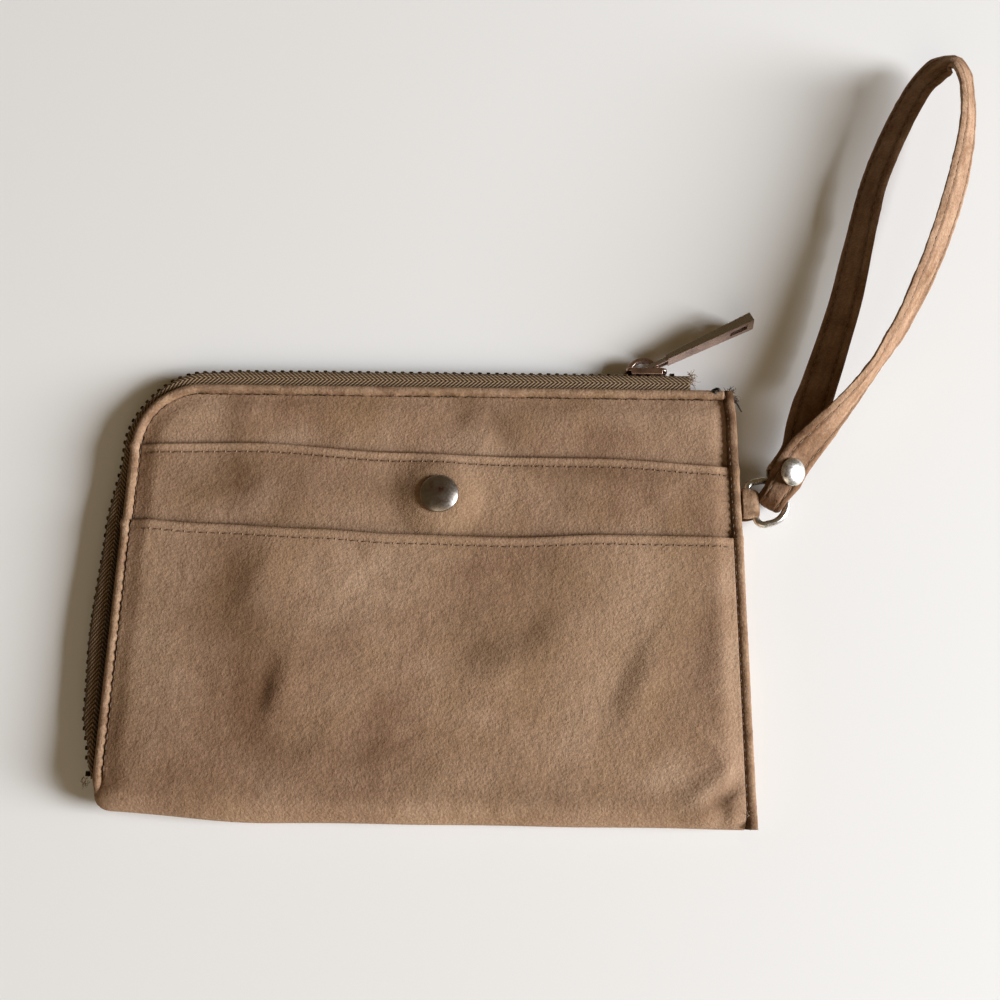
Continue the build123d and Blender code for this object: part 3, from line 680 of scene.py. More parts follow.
def buildMiddlePocket():
    rows, foot, grid = 110, -60.0, []
    for row in range(rows + 1):
        line = []
        for x in xStops:
            y = mix(foot, middleMouth(x), row / rows)
            line.append((x, y, middleLevel(x, y) - hemDip(y, middleMouth, x)))
        grid.append(line)
    piece = leatherSheet("middlePocket", grid, offsetGrid(grid, bag["leather"]), suede, "suede", 0.45)
    paint(piece, "stainAndShade", lambda x, y, z: max(
        stainAndDentShadeAt(x, y, z), shadeAboveLip(x, y, outerMouth), hemLine(x, y, middleMouth)))
    paint(piece, "rub", lambda x, y, z: max(rubAt(x, y, z), lipRub(x, y, middleMouth)))
    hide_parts("middle_pocket")
    blendPocket(piece, "middle_pocket")


def buildShell():
    # outer pocket, bottom fold and back panel: one piece of leather
    grid = []
    frontRows, foldRows, backRows = 90, 24, 60
    foldRun, middleZ = 8.5, bag["outerTop"] / 2
    lows = [bottomAt(besideStrip(x, -70)) for x in xStops]
    for row in range(frontRows):
        line = []
        for x, low in zip(xStops, lows):
            y = mix(outerMouth(x), low + foldRun, row / frontRows)
            line.append((besideStrip(x, y), y, outerLevel(x, y) - hemDip(y, outerMouth, x)))
        grid.append(line)
    for row in range(foldRows + 1):
        angle = math.pi * (0.5 - row / foldRows)
        run = foldRun if angle > 0 else middleZ
        line = []
        for x, low in zip(xStops, lows):
            rise = outerLevel(x, low + foldRun) - middleZ if angle > 0 else middleZ
            y = low + run * (1 - math.cos(angle))
            line.append((besideStrip(x, y), y, middleZ + rise * math.sin(angle)))
        grid.append(line)
    for row in range(1, backRows + 1):
        line = []
        for x, low in zip(xStops, lows):
            start = low + middleZ
            y = mix(start, topEdgeAt(x), row / backRows)
            lift = 0.12 * (1 + waves(x, y, 25, 4)) + 0.08 * (1 + waves(x, y, 8, 6))
            line.append((besideStrip(x, y), y, lift * smooth((y - start) / 12) * seamPress(x, y)))
        grid.append(line)
    grid = [list(reversed(line)) for line in grid]
    piece = leatherSheet("leatherShell", grid, offsetGrid(grid, bag["leather"]), suede, "suede", 0.45)
    paint(piece, "stainAndShade", lambda x, y, z: max(
        stainAndDentShadeAt(x, y, z), hemLine(x, y, outerMouth)) if z > 4 else stainAndDentShadeAt(-x, y, z))
    paint(piece, "rub", lambda x, y, z: max(
        rubAt(x, y, z), lipRub(x, y, outerMouth) if z > 6 else 0.0,
        0.3 * math.exp(-((z - 7) / 3) ** 2) if y < bottomAt(x) + 6 else 0.0))
    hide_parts("shell_back", "outer_pocket")
    blendPocket(piece, "outer_pocket")


buildFrontPanel()
buildMiddlePocket()
buildShell()
print("leather plies built")

# ---- strips along the zip and down the right side


def zipPath(outwards, foot, end, step=1.0):
    # points (x, y) along the leather's edge from the zip's foot to the top right, with their outward normals
    left, top = bag["left"] - outwards, bag["top"] + outwards
    radius = bag["corner"] + outwards
    places = []
    straight = top - radius - foot
    count = max(2, int(straight / step))
    places += [((left, foot + straight * n / count), (-1.0, 0.0)) for n in range(count)]
    count = max(6, int(radius * math.pi / 2 / step))
    for n in range(count):
        angle = math.pi - math.pi / 2 * n / count
        places.append(((left + radius + radius * math.cos(angle), top - radius + radius * math.sin(angle)),
                       (math.cos(angle), math.sin(angle))))
    count = max(2, int((end - left - radius) / step))
    places += [((mix(left + radius, end, n / count), top), (0.0, 1.0)) for n in range(count + 1)]
    return places


def sweepStrip(places, profileAt):
    # a closed section carried along places; profileAt(number) gives (outwards, height) points
    points = []
    for number, ((x, y), (nx, ny)) in enumerate(places):
        for outwards, height in profileAt(number):
            points.append((x + nx * outwards, y + ny * outwards, height))
    return points, sweptFaces(len(places), len(profileAt(0)))


def flipped(points, faces):
    return points, [tuple(reversed(face)) for face in faces]


strip = {
    "foot": -63.0,
    "end": innerRight - 0.6,
    "step": 0.8,
    "section": [(-3.15, -1.1), (-3.05, -0.35), (-2.7, 0.2), (-2.1, 0.5), (-1.4, 0.58), (-0.7, 0.4),
                (-0.15, 0.0), (0.05, -0.6), (-0.05, -1.2), (-0.5, -1.6), (-1.6, -1.65), (-2.8, -1.6)],
}


def stackHeight(y):
    # the strip stands higher where the pockets' plies are sewn in under it
    return bag["panelTop"] + 0.55 + 0.5 * smooth((50.5 - y) / 4) + 0.55 * smooth((24.5 - y) / 4)


def buildEdgings():
    places = zipPath(0.0, strip["foot"], strip["end"], strip["step"])

    def front(number):
        x, y = places[number][0]
        base = stackHeight(y) if x < -80 else bag["panelTop"] + 0.55
        wobble = 1 + 0.08 * waves(x, y, 9, 21) + 0.09 * waves(x, y, 3, 22) + 0.05 * waves(x, y, 1.3, 23)
        bulge = sum(0.55 * math.exp(-((y - level) / 1.3) ** 2) for level in (48.0, 21.5)) if x < -90 else 0.0
        tuck = 0.7 * (1 - smooth((y + 63.0) / 6.5)) if x < -95 else 0.0
        drop = 1.5 * (1 - smooth((y + 63.0) / 5.0)) if x < -95 else 0.0
        base += 0.4 * bulge - drop
        return [(o * wobble + bulge * (1 + o / 3.2) - tuck * (1 + o / 6.4), base + h * wobble)
                for o, h in strip["section"]]

    piece = newPiece("edgingFront", *sweepStrip(places, front), suedeEdging, "suede_edging", "clutch_body",
                     ["edging_front"])
    # painted shade on the strip's lower parts, down its sides into the gap beside the tape
    paint(piece, "stainAndShade", lambda x, y, z: 0.85 * (1 - smooth((z - stackHeight(y) + 1.9) / 1.3)))
    paint(piece, "rub", lambda x, y, z: (
        0.35 * smooth((z - stackHeight(y) - 0.2) / 0.3) * (0.6 + waves(x, y, 4, 3))))

    def back(number):
        x, y = places[number][0]
        wobble = 1 + 0.05 * waves(x, y, 8, 31)
        tuck = 2.6 * (1 - smooth((y + 63.0) / 6.5)) if x < -95 else 0.0
        return [(-3.1, 1.25), (-2.2, 1.42 * wobble), (-1.2, 1.5 * wobble), (-0.4 - tuck * 0.4, 1.3),
                (0.0 - tuck, 0.85), (-0.1 - tuck, 0.35), (-0.6 - tuck * 0.5, 0.02), (-1.6, 0.0), (-2.7, 0.06),
                (-3.1, 0.3)]

    piece = newPiece("edgingBack", *flipped(*sweepStrip(places, back)), suedeEdging, "suede_edging",
                     "clutch_body", ["edging_back"])
    paint(piece, "stainAndShade", lambda x, y, z: 0.15)
    paint(piece, "rub", lambda x, y, z: 0.3 * smooth((z - 0.9) / 0.5))


def buildSideBinding():
    # a strip rolled over the edges of all the plies
    places, width, steps, middle, sides = [], bag["binding"], 190, 5.0, 22
    for number in range(steps + 1):
        y = mix(bag["bottom"] + 0.1, bag["top"] - 0.4, number / steps)
        sway = 0.35 * waves(0, y, 30, 41) + 0.9 * smooth((y - 58) / 14) - 0.35 * (1 - smooth((y + 70) / 12))
        places.append(((bag["right"] - sway, y), (1.0, 0.0)))

    def section(number):
        y = places[number][0][1]
        full = 3.9 + 0.45 * smooth((47 - y) / 5) + 0.5 * smooth((23.5 - y) / 4) + 0.12 * waves(1, y, 4, 42)
        full -= 0.9 * (1 - smooth((y - bag["bottom"]) / 9))
        bump = sum(0.5 * math.exp(-((y - level) / 1.1) ** 2) for level in (42.0, 18.6))
        thick = width + 0.5 + bump * 0.9 + 0.14 * waves(2, y, 5, 43) + 0.1 * waves(3, y, 1.6, 46)
        ring = []
        for step in range(sides):
            angle = 2 * math.pi * step / sides
            out = math.copysign(abs(math.cos(angle)) ** 0.75, math.cos(angle))
            up = math.copysign(abs(math.sin(angle)) ** 0.6, math.sin(angle))
            fuzz = 0.1 * waves(angle * 2, y, 1.1, 47)
            ring.append((-thick / 2 + out * thick / 2 + bump * 0.4 + fuzz,
                         middle + up * (full + 0.5 * bump) + fuzz))
        return ring

    piece = newPiece("sideBinding", *flipped(*sweepStrip(places, section)), suedeEdging, "suede_edging",
                     "clutch_body", ["side_binding"])
    # darker at both ends and in blotches; painted shade along its inner side, in the groove beside the
    # leather
    paint(piece, "stainAndShade", lambda x, y, z: min(0.9, (
        0.2 + 0.4 * (1 - smooth((y + 69) / 11)) + 0.8 * smooth((y - 64) / 4)
        + 0.4 * max(0.0, waves(x, y, 5, 44)) + 0.4 * (1 - smooth((x - bag["right"] + width + 0.4) / 0.9)))))
    paint(piece, "rub", lambda x, y, z: 0.25 * smooth((z - 7.5) / 1.5) * (0.4 + waves(x, y, 5, 45)))


buildEdgings()
buildSideBinding()
print("strips built")

# ---- stitches


def stitchRow(places, heightAt, pitch, length, radius, seed, lean=0.0):
    # short threads along a line of (x, y) points, each sunk at both ends
    rng = random.Random(seed)
    parts, carried, previous = [], 0.0, Vector(places[0])
    for place in places[1:]:
        here = Vector(place)
        run = (here - previous).length
        while carried + run >= pitch:
            centre = previous + (here - previous) * ((pitch - carried) / run)
            along = (here - previous).normalized()
            turn = math.radians(lean + rng.uniform(-6, 6))
            along = Vector((along.x * math.cos(turn) - along.y * math.sin(turn),
                            along.x * math.sin(turn) + along.y * math.cos(turn)))
            rng.random()             # keeps the later draws in their places
            size = length * rng.uniform(0.88, 1.08)
            path = []
            for step in range(7):
                t = step / 6 * 2 - 1
                spot = centre + along * (t * size / 2)
                path.append((spot.x, spot.y, heightAt(spot.x, spot.y) + radius * (0.75 - 1.5 * t * t)))
            parts.append(tubeAlong(path, lambda share: radius * (0.6 + 0.4 * math.sin(math.pi * share)), 8))
            previous = centre
            run = (here - previous).length
            carried = 0.0
        carried += run
        previous = here
    return joined(parts)


def lineOf(x0, x1, heightAt, step=0.5):
    count = int((x1 - x0) / step)
    return [(mix(x0, x1, n / count), heightAt(mix(x0, x1, n / count))) for n in range(count + 1)]


def buildStitches():
    lines = [
        ("outerHemStitches", outerMouth, lambda x, y: outerLevel(x, y) - 0.24, "outer_pocket", 3.72, 51),
        ("middleHemStitches", middleMouth, lambda x, y: middleLevel(x, y) - 0.24, "middle_pocket", 3.6, 52),
    ]
    for name, mouth, level, body, pitch, seed in lines:
        hem = lineOf(innerLeft + 1.0, innerRight - 1.0, lambda x: mouth(x) - bag["hem"])
        piece = newPiece(name, *stitchRow(hem, level, pitch, 2.5, 0.19, seed, lean=5.0), darkThread, "suede")
        blendPocket(piece, body)
        holes = lineOf(innerLeft + 2.9, innerRight - 1.0, lambda x: mouth(x) - bag["hem"] + 0.1)
        locks = stitchRow(holes, level, pitch, 0.9, 0.19, seed + 1, lean=80.0)
        piece = newPiece(name + "Lock", *locks, tanThread, "suede")
        blendPocket(piece, body)
    edge = [place for place, normal in zipPath(-bag["edging"] - 0.15, -58.0, innerRight - 1.0, 0.5)]

    def edgeLevel(x, y):
        if y < outerMouth(x):
            return outerLevel(x, y) - 0.05
        return (middleLevel(x, y) if y < middleMouth(x) else panelLevel(x, y)) - 0.05

    side = [(innerRight + 0.25 - 0.35 * waves(0, y, 30, 41) - 0.9 * smooth((y - 58) / 14), y)
            for y in [bag["bottom"] + 5 + n * 0.5 for n in range(268)]]
    rows = [
        ("edgeStitches", stitchRow(edge, edgeLevel, 3.15, 2.0, 0.2, 53)),
        ("sideStitches", stitchRow(side, lambda x, y: stackHeight(y) - 0.1, 2.6, 1.8, 0.24, 54)),
    ]
    for name, row in rows:
        newPiece(name, *row, darkThread, "suede_edging", "clutch_body")


buildStitches()
print("stitches sewn")

# ---- zip

zipDims = {
    "z": 3.9,
    "foot": bag["bottom"] + 12.0,
    "tapeEnd": 85.0,
    "chainMiddle": 5.3,
    "pitch": 2.9,
    "toothLength": 1.3,
    "edge": 5.9,
    # how far the tape's edge stands out from the leather: distance along the zip from its foot, and reach
    # it is drawn in round the corner, though not where the slider comes
    "reach": [(0, 1.6), (6, 3.4), (20, 6.2), (45, 7.3), (78, 6.0), (104, 2.9), (118, 2.4), (141, 5.0),
              (152, 5.6), (186, 5.8), (330, 5.9)],
}


def reachAt(along):
    stops = zipDims["reach"]
    for (s0, r0), (s1, r1) in zip(stops, stops[1:]):
        if along <= s1:
            return mix(r0, r1, smooth((along - s0) / (s1 - s0)))
    return stops[-1][1]


def alongZip(x, y):
    # distance from the zip's foot along the leather's edge
    straight = bag["top"] - bag["corner"] - zipDims["foot"]
    middleX, middleY = bag["left"] + bag["corner"], bag["top"] - bag["corner"]
    if y <= middleY:
        return y - zipDims["foot"]
    if x < middleX:
        return straight + bag["corner"] * math.atan2(y - middleY, middleX - x)
    return straight + bag["corner"] * math.pi / 2 + x - middleX


def buildTapes():
    places = zipPath(0.0, zipDims["foot"], zipDims["tapeEnd"], 0.7)
    length, lengths = 0.0, []
    for number, (place, normal) in enumerate(places):
        if number:
            length += (Vector(place) - Vector(places[number - 1][0])).length
        lengths.append(length)
    # section of one tape from its sewn edge out to the teeth: (outwards, distance from the chain's plane)
    spine = [(-3.0, 2.9), (-1.2, 2.85), (0.2, 2.7), (0.9, 2.65), (1.7, 2.75), (2.6, 2.9), (3.5, 2.95),
             (4.3, 2.85), (5.0, 2.55), (5.5, 2.15), (5.75, 1.75), (5.6, 1.35)]
    thick = 0.4
    for side, name, replaced in ((1, "zipTapeFront", "zip_tape_front"), (-1, "zipTapeBack", "zip_tape_back")):
        points, across, valleyShadeAndEdge = [], [], []
        rows = len(spine)
        for number, ((x, y), (nx, ny)) in enumerate(places):
            share = reachAt(lengths[number]) / zipDims["edge"]
            dip = 1.3 * smooth((105 - lengths[number]) / 30)
            ripple = 0.16 * math.sin(4 * math.pi * lengths[number] / zipDims["pitch"])
            ring = []
            for step, (outwards, height) in enumerate(spine):
                ahead = spine[min(step + 1, rows - 1)]
                behind = spine[max(step - 1, 0)]
                tangent = Vector((ahead[0] - behind[0], ahead[1] - behind[1])).normalized()
                normal = Vector((-tangent.y, tangent.x))
                ring.append((Vector((outwards, height)), normal, outwards))
            section = [(p + n * thick / 2, o) for p, n, o in ring]
            section += [(p - n * thick / 2, o) for p, n, o in reversed(ring)]
            for spot, o in section:
                outwards = spot.x * share + ripple * smooth((spot.x - 4.6) / 0.6) if spot.x > 0 else spot.x
                low = dip * math.exp(-((spot.x - 0.7) / 1.0) ** 2)
                points.append((x + nx * outwards, y + ny * outwards, zipDims["z"] + side * (spot.y - low)))
                across.append((lengths[number], o * max(share, 0.45) if o > 0 else o))
                # painted shade in the valley beside the leather where the tape dips, and darker along its
                # edge under the teeth
                dark = 0.95 * dip / 1.3 * smooth((2.6 - o) / 1.4) + 0.75 * smooth((o - 4.9) / 0.8)
                valleyShadeAndEdge.append(min(0.95, dark))
        faces = sweptFaces(len(places), 2 * rows)
        if side > 0:
            points, faces = flipped(points, faces)
        piece = newPiece(name, points, faces, zipTape, "zip_tape", "clutch_body", [replaced])
        layer = piece.data.uv_layers.new(name="alongAndAcross")
        for loop in piece.data.loops:
            layer.data[loop.index].uv = across[loop.vertex_index]
        paintValues(piece, "valleyShadeAndEdge", valleyShadeAndEdge)


def toothMesh(place, normal, side):
    # one clamped tooth: a rounded head towards the other row and two legs over the tape's edge
    x, y = place
    nx, ny = normal
    tx, ty = ny, -nx
    half, length = 0.95, zipDims["toothLength"] / 2
    middle = (zipDims["chainMiddle"] - 0.05) * reachAt(alongZip(x, y)) / zipDims["edge"]
    outline = [(-half, 2.35), (-half, 1.1), (-half * 0.75, 0.7), (0.0, 0.6), (half * 0.75, 0.7), (half, 1.1),
               (half, 2.35), (half * 0.45, 2.1), (0.0, 2.0), (-half * 0.45, 2.1)]
    points = []
    for along in (-length, -length * 0.6, length * 0.6, length):
        shrink = 0.86 if abs(along) == length else 1.0
        for out, height in outline:
            o = middle + out * shrink
            h = 1.475 + (height - 1.475) * shrink
            points.append((x + nx * o + tx * along, y + ny * o + ty * along, zipDims["z"] + side * h))
    faces = sweptFaces(4, len(outline))
    return (points, faces) if side > 0 else flipped(points, faces)


def buildTeeth():
    places = zipPath(0.0, zipDims["foot"] + 3.4, 75.6, 0.1)
    rows = ((1, "zipTeethFront", "zip_teeth_front"), (-1, "zipTeethBack", "zip_teeth_back"))
    for side, name, replaced in rows:
        parts, walked = [], (0 if side > 0 else zipDims["pitch"] / 2)
        for (place, normal), (before, other) in zip(places[1:], places):
            outer = zipDims["chainMiddle"]
            here = Vector((place[0] + normal[0] * outer, place[1] + normal[1] * outer))
            there = Vector((before[0] + other[0] * outer, before[1] + other[1] * outer))
            walked += (here - there).length
            if walked >= zipDims["pitch"]:
                walked -= zipDims["pitch"]
                parts.append(toothMesh(place, normal, side))
        newPiece(name, *joined(parts), antiqueBrass, "zip_metal", "clutch_body", [replaced], flat=True)


buildTapes()
buildTeeth()


def softenedCopy(nodeName, name, material, body, width, angle=35.0):
    # the CAD node's own shape with its edges rounded as a cast or stamped piece has them
    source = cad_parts[nodeName]
    mesh = source.data.copy()
    mesh.name = name
    mesh.materials.clear()
    mesh.materials.append(material)
    piece = bpy.data.objects.new(name, mesh)
    scene.collection.objects.link(piece)
    weld = piece.modifiers.new("weld", "WELD")
    weld.merge_threshold = 0.00001
    flatten = piece.modifiers.new("flatten", "DECIMATE")
    flatten.decimate_type = "DISSOLVE"
    flatten.angle_limit = math.radians(3)
    applyModifiers(piece)
    roundEdges(piece, width, angle)
    piece.data.shade_smooth()
    normals = piece.modifiers.new("normals", "WEIGHTED_NORMAL")
    normals.keep_sharp = True
    applyModifiers(piece)
    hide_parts(nodeName)
    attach(piece, body)
    return piece


softenedCopy("zip_slider", "zipSlider", gunmetal, "slider", 0.22)
puller = softenedCopy("pull_tab", "zipPuller", gunmetal, "puller", 0.24)
# painted reflection: its broad top is coloured a paler grey; painted highlight: its rounded edges are
# coloured bright
faces = [face for face in puller.data.polygons if face.area > 6 * mm * mm]
flatCorners = {corner for face in faces for corner in face.vertices}
topCorners = {corner for face in faces if face.normal.z > 0.8 for corner in face.vertices}
corners = range(len(puller.data.vertices))
paintValues(puller, "topReflection", [1.0 if corner in topCorners else 0.0 for corner in corners])
# painted highlight along the rounded edges
paintValues(puller, "edgeHighlight", [0.0 if corner in flatCorners else 0.9 for corner in corners])
softenedCopy("zip_top_stops", "zipTopStops", antiqueBrass, "clutch_body", 0.12)
bottomStop = softenedCopy("zip_bottom_stop", "zipBottomStop", antiqueBrass, "clutch_body", 0.12)
for vertex in bottomStop.data.vertices:
    vertex.co.x += 3.3 * mm               # the tape is drawn in at its foot
print("zip built")

# ---- snap, rivet and ring


def latheMesh(profile, origin, ahead, up, segments=64):
    # profile of (radius, height) turned about up at origin, closed at both ends of the profile
    origin, up = Vector(origin), Vector(up).normalized()
    side = up.cross(Vector(ahead)).normalized()
    front = side.cross(up)
    points = []
    for radius, height in profile:
        for step in range(segments):
            angle = 2 * math.pi * step / segments
            outwards = front * math.cos(angle) + side * math.sin(angle)
            points.append(tuple(origin + up * height + outwards * radius))
    return points, sweptFaces(len(profile), segments)


def domeProfile(radius, rise, rim, seat=0.0, steps=14):
    # a pressed cap: rolled rim, then a shallow dome
    profile = [(radius * 0.9, seat), (radius * 0.98, seat + rim * 0.1), (radius, seat + rim * 0.5)]
    for step in range(steps + 1):
        share = 0.985 * (1 - step / steps) + 0.002
        profile.append((radius * share, seat + rim * 0.75 + (rise - rim * 0.75) * (1 - share ** 2.6)))
    return profile


capLow, capHigh = [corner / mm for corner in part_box("snap_cap")]
capSeat = capHigh.z - 2.2
snapCap = newPiece("snapCap", *joined([
    latheMesh(domeProfile(6.25, 2.2, 0.8), (snapX, snapY, capSeat), (1, 0, 0), (0, 0, 1)),
    latheMesh([(1.7, capLow.z - capSeat), (1.7, 0.05)], (snapX, snapY, capSeat), (1, 0, 0), (0, 0, 1), 32),
]), antiqueNickel, "snap_metal", "middle_pocket", ["snap_cap"])
paint(snapCap, "rust", lambda x, y, z: min(0.85, spots(x, y, [
    (snapX + 0.6, snapY + 0.9, 1.5, 1.1, 30, 0.9), (snapX - 2.4, snapY + 2.2, 1.6, 0.8, 100, 0.45),
    (snapX + 1.6, snapY - 2.9, 1.5, 0.7, 10, 0.25)]) * (1 + 0.8 * waves(x, y, 0.8, 61))))
softenedCopy("snap_socket", "snapSocket", antiqueNickel, "middle_pocket", 0.15)
softenedCopy("snap_stud", "snapStud", antiqueNickel, "clutch_body", 0.12)
softenedCopy("snap_post", "snapPost", antiqueNickel, "clutch_body", 0.06)

ringDims = {
    "middle": (103.7, 31.0, 6.0),
    "turn": 14.0,
    "wire": 1.15,             # radius
    "corner": 2.4,
    "half": 7.3,
    "depth": 4.2,
}


def ringPoint(ahead, aside):
    turn = math.radians(ringDims["turn"])
    x, y, z = ringDims["middle"]
    return (x + ahead * math.cos(turn) - aside * math.sin(turn),
            y + ahead * math.sin(turn) + aside * math.cos(turn), z)


def buildRing():
    half, depth, corner = ringDims["half"], ringDims["depth"], ringDims["corner"]
    path = [(0.0, mix(corner - half, half - corner, n / 10)) for n in range(10)]
    path += [(corner - corner * math.cos(a), half - corner + corner * math.sin(a))
             for a in [math.pi / 2 * n / 8 for n in range(8)]]
    path += [(mix(corner, depth, n / 2), half) for n in range(2)]
    path += [(depth + half * math.sin(a), half * math.cos(a)) for a in [math.pi * n / 40 for n in range(41)]]
    path += [(corner - corner * math.sin(a), corner - half - corner * math.cos(a))
             for a in [math.pi / 2 * n / 8 for n in range(8)]]
    newPiece("dRing", *flipped(*tubeAlong([ringPoint(*p) for p in path], ringDims["wire"], 20, closed=True)),
             brightNickel, "nickel", "ring", ["d_ring"])


def buildRingTab():
    # a strip of suede folded round the ring's bar and sewn into the binding
    x, y, z = ringDims["middle"]
    width, thick, inner = 10.2, 1.0, 1.35
    line = [(-3.5, inner), (-2.2, inner), (-1.0, inner)]
    line += [(inner * math.sin(a), inner * math.cos(a)) for a in [math.pi * n / 14 for n in range(15)]]
    line += [(-1.0, -inner), (-2.2, -inner), (-3.5, -inner)]
    outer, under = [], []
    for step in range(25):
        share = step / 24
        offset = (share - 0.5) * width
        outerLine, innerLine = [], []
        for number, (ahead, up) in enumerate(line):
            before, after = line[max(number - 1, 0)], line[min(number + 1, len(line) - 1)]
            tangent = Vector((after[0] - before[0], after[1] - before[1])).normalized()
            normal = Vector((-tangent.y, tangent.x))
            swell = (thick + 0.15 + 0.3 * waves(ahead, offset, 2.4, 71) + 0.15 * waves(ahead, offset, 1.0, 75)
                     - 0.5 * (2 * abs(share - 0.5)) ** 6)
            pinch = 1 - 0.12 * smooth((ahead + 1.5) / 2.5) + 0.04 * waves(ahead, 1, 2, 76)
            outerLine.append((x + ahead + normal.x * swell, y + offset * pinch, z + up + normal.y * swell))
            innerLine.append((x + ahead, y + offset * pinch, z + up))
        outer.append(outerLine)
        under.append(innerLine)
    piece = leatherSheet("ringTab", outer, under, suedeEdging, "suede_edging", 0.25)
    # darker towards the ring and in blotches; painted shade low down, on the ply under the fold
    paint(piece, "stainAndShade", lambda px, py, pz: (
        0.35 * smooth((px - 104) / 2) + 0.9 * max(0.0, waves(px, py, 2.2, 72))
        + 0.35 * (1 - smooth((pz - z + 0.5) / 2))))
    paint(piece, "rub", lambda px, py, pz: 0.3 * max(0.0, waves(px, py, 3, 73)))
    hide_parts("ring_tab")
    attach(piece, "clutch_body")


buildRing()
buildRingTab()
print("ring and snap built")

# ---- wrist strap

strap = {
    "rivet": (114.7, 41.9, 7.2),
    "axis": 57.0,
    "roll": 26.0,
    "width": 12.4,
    "thickness": 2.4,
    "plyStep": 2.6,
    "foldReach": 8.9,
    "foldSide": 1.2,
    "foldStep": 3.0,
    "foldWidth": 8.6,
    "openReach": 3.8,
    "ringHeight": 6.0,
    # along the strap from the rivet, to its left, height, lean of the ribbon into the loop
    "loop": [
        (18.0, -3.0, 11.2, 43), (27.4, -4.4, 12.6, 58), (36.6, -5.4, 13.8, 67), (45.7, -6.0, 14.8, 70),
        (54.6, -6.1, 15.7, 64), (63.5, -6.1, 16.4, 59), (83.5, -4.1, 17.3, 49), (96.8, -2.0, 17.5, 46),
        (110.2, 0.7, 17.6, 43), (123.6, 4.0, 17.4, 42), (137.1, 8.1, 16.9, 46), (147.5, 12.2, 16.2, 48),
        (156.8, 16.9, 15.2, 47), (164.6, 22.2, 14.0, 38), (166.4, 26.6, 12.6, 24), (163.6, 29.2, 11.4, 26),
        (158.6, 30.7, 10.3, 33), (151.5, 31.6, 9.1, 44), (137.8, 30.8, 7.9, 47), (123.0, 28.9, 7.4, 49),
        (108.9, 26.2, 7.1, 53), (96.0, 22.4, 6.8, 53), (83.3, 18.5, 6.5, 48), (66.9, 13.3, 6.1, 41),
        (50.2, 9.1, 5.5, 35), (33.9, 5.4, 5.0, 24), (20.0, 2.8, 5.6, -6),
    ],
}
axisTurn = math.radians(strap["axis"])
strapAhead = Vector((math.cos(axisTurn), math.sin(axisTurn), 0))
strapLeft = Vector((-math.sin(axisTurn), math.cos(axisTurn), 0))
rivetPoint = Vector(strap["rivet"])
roll = math.radians(strap["roll"])
rivetUp = strapLeft * -math.sin(roll) + Vector((0, 0, math.cos(roll)))


def strapStations():
    # (point, direction across the ribbon, width) from the folded end to the tucked end
    stations = []

    def stack(along, level, lean, width, aside=0.0):
        share = min(1.0, max(0.0, 1 + along / strap["openReach"]))
        height = mix(strap["ringHeight"], rivetPoint.z, share)
        tilt = math.radians(lean)
        up = strapLeft * -math.sin(tilt) + Vector((0, 0, math.cos(tilt)))
        base = Vector((rivetPoint.x, rivetPoint.y, height)) + strapAhead * along
        base += strapLeft * ((share - 1) * strap["foldSide"] + aside)
        across = strapLeft * math.cos(tilt) + Vector((0, 0, math.sin(tilt)))
        stations.append((base + up * level, across, width))

    wide, narrow, step = strap["width"], strap["foldWidth"], strap["foldStep"]
    stack(7.0, -strap["plyStep"], strap["roll"], wide - 3.4, -1.5)
    stack(0.0, -strap["plyStep"], strap["roll"], wide - 2.8, -1.3)
    stack(-strap["openReach"], -step, 0.0, (wide + narrow) / 2 - 1.0, -0.5)
    stack(-strap["foldReach"], -step, 0.0, narrow)
    for turn in range(1, 6):
        angle = math.pi * turn / 6
        stack(-strap["foldReach"] - step * math.sin(angle), -step * math.cos(angle), 0.0, narrow)
    stack(-strap["foldReach"], step, 0.0, narrow)
    stack(-strap["openReach"], step, 0.0, (wide + narrow) / 2)
    stack(0.0, strap["plyStep"], strap["roll"], wide)
    stack(7.0, strap["plyStep"], strap["roll"], wide)
    loop = [Vector((rivetPoint.x, rivetPoint.y, height)) + strapAhead * along + strapLeft * left
            for along, left, height, lean in strap["loop"]]
    ends = [stations[-1][0], *loop, rivetPoint + strapAhead * 7.0]
    for number, place in enumerate(loop):
        tangent = (ends[number + 2] - ends[number]).normalized()
        inward = Vector((-tangent.y, tangent.x, 0)).normalized()
        tilt = math.radians(strap["loop"][number][3])
        across = inward * math.cos(tilt) + Vector((0, 0, math.sin(tilt)))
        stations.append((place, (across - tangent * across.dot(tangent)).normalized(), wide))
    tilted = -strapLeft * math.cos(-roll) + Vector((0, 0, math.sin(-roll)))
    for along in (7.0, 0.0, -2.5):
        stations.append((rivetPoint + strapAhead * along, tilted, wide))
    return stations


def catmull(a, b, c, d, t):
    return (b + (c - a) * (t / 2) + (a * 2 - b * 5 + c * 4 - d) * (t * t / 2)
            + (b * 3 - a - c * 3 + d) * (t * t * t / 2))


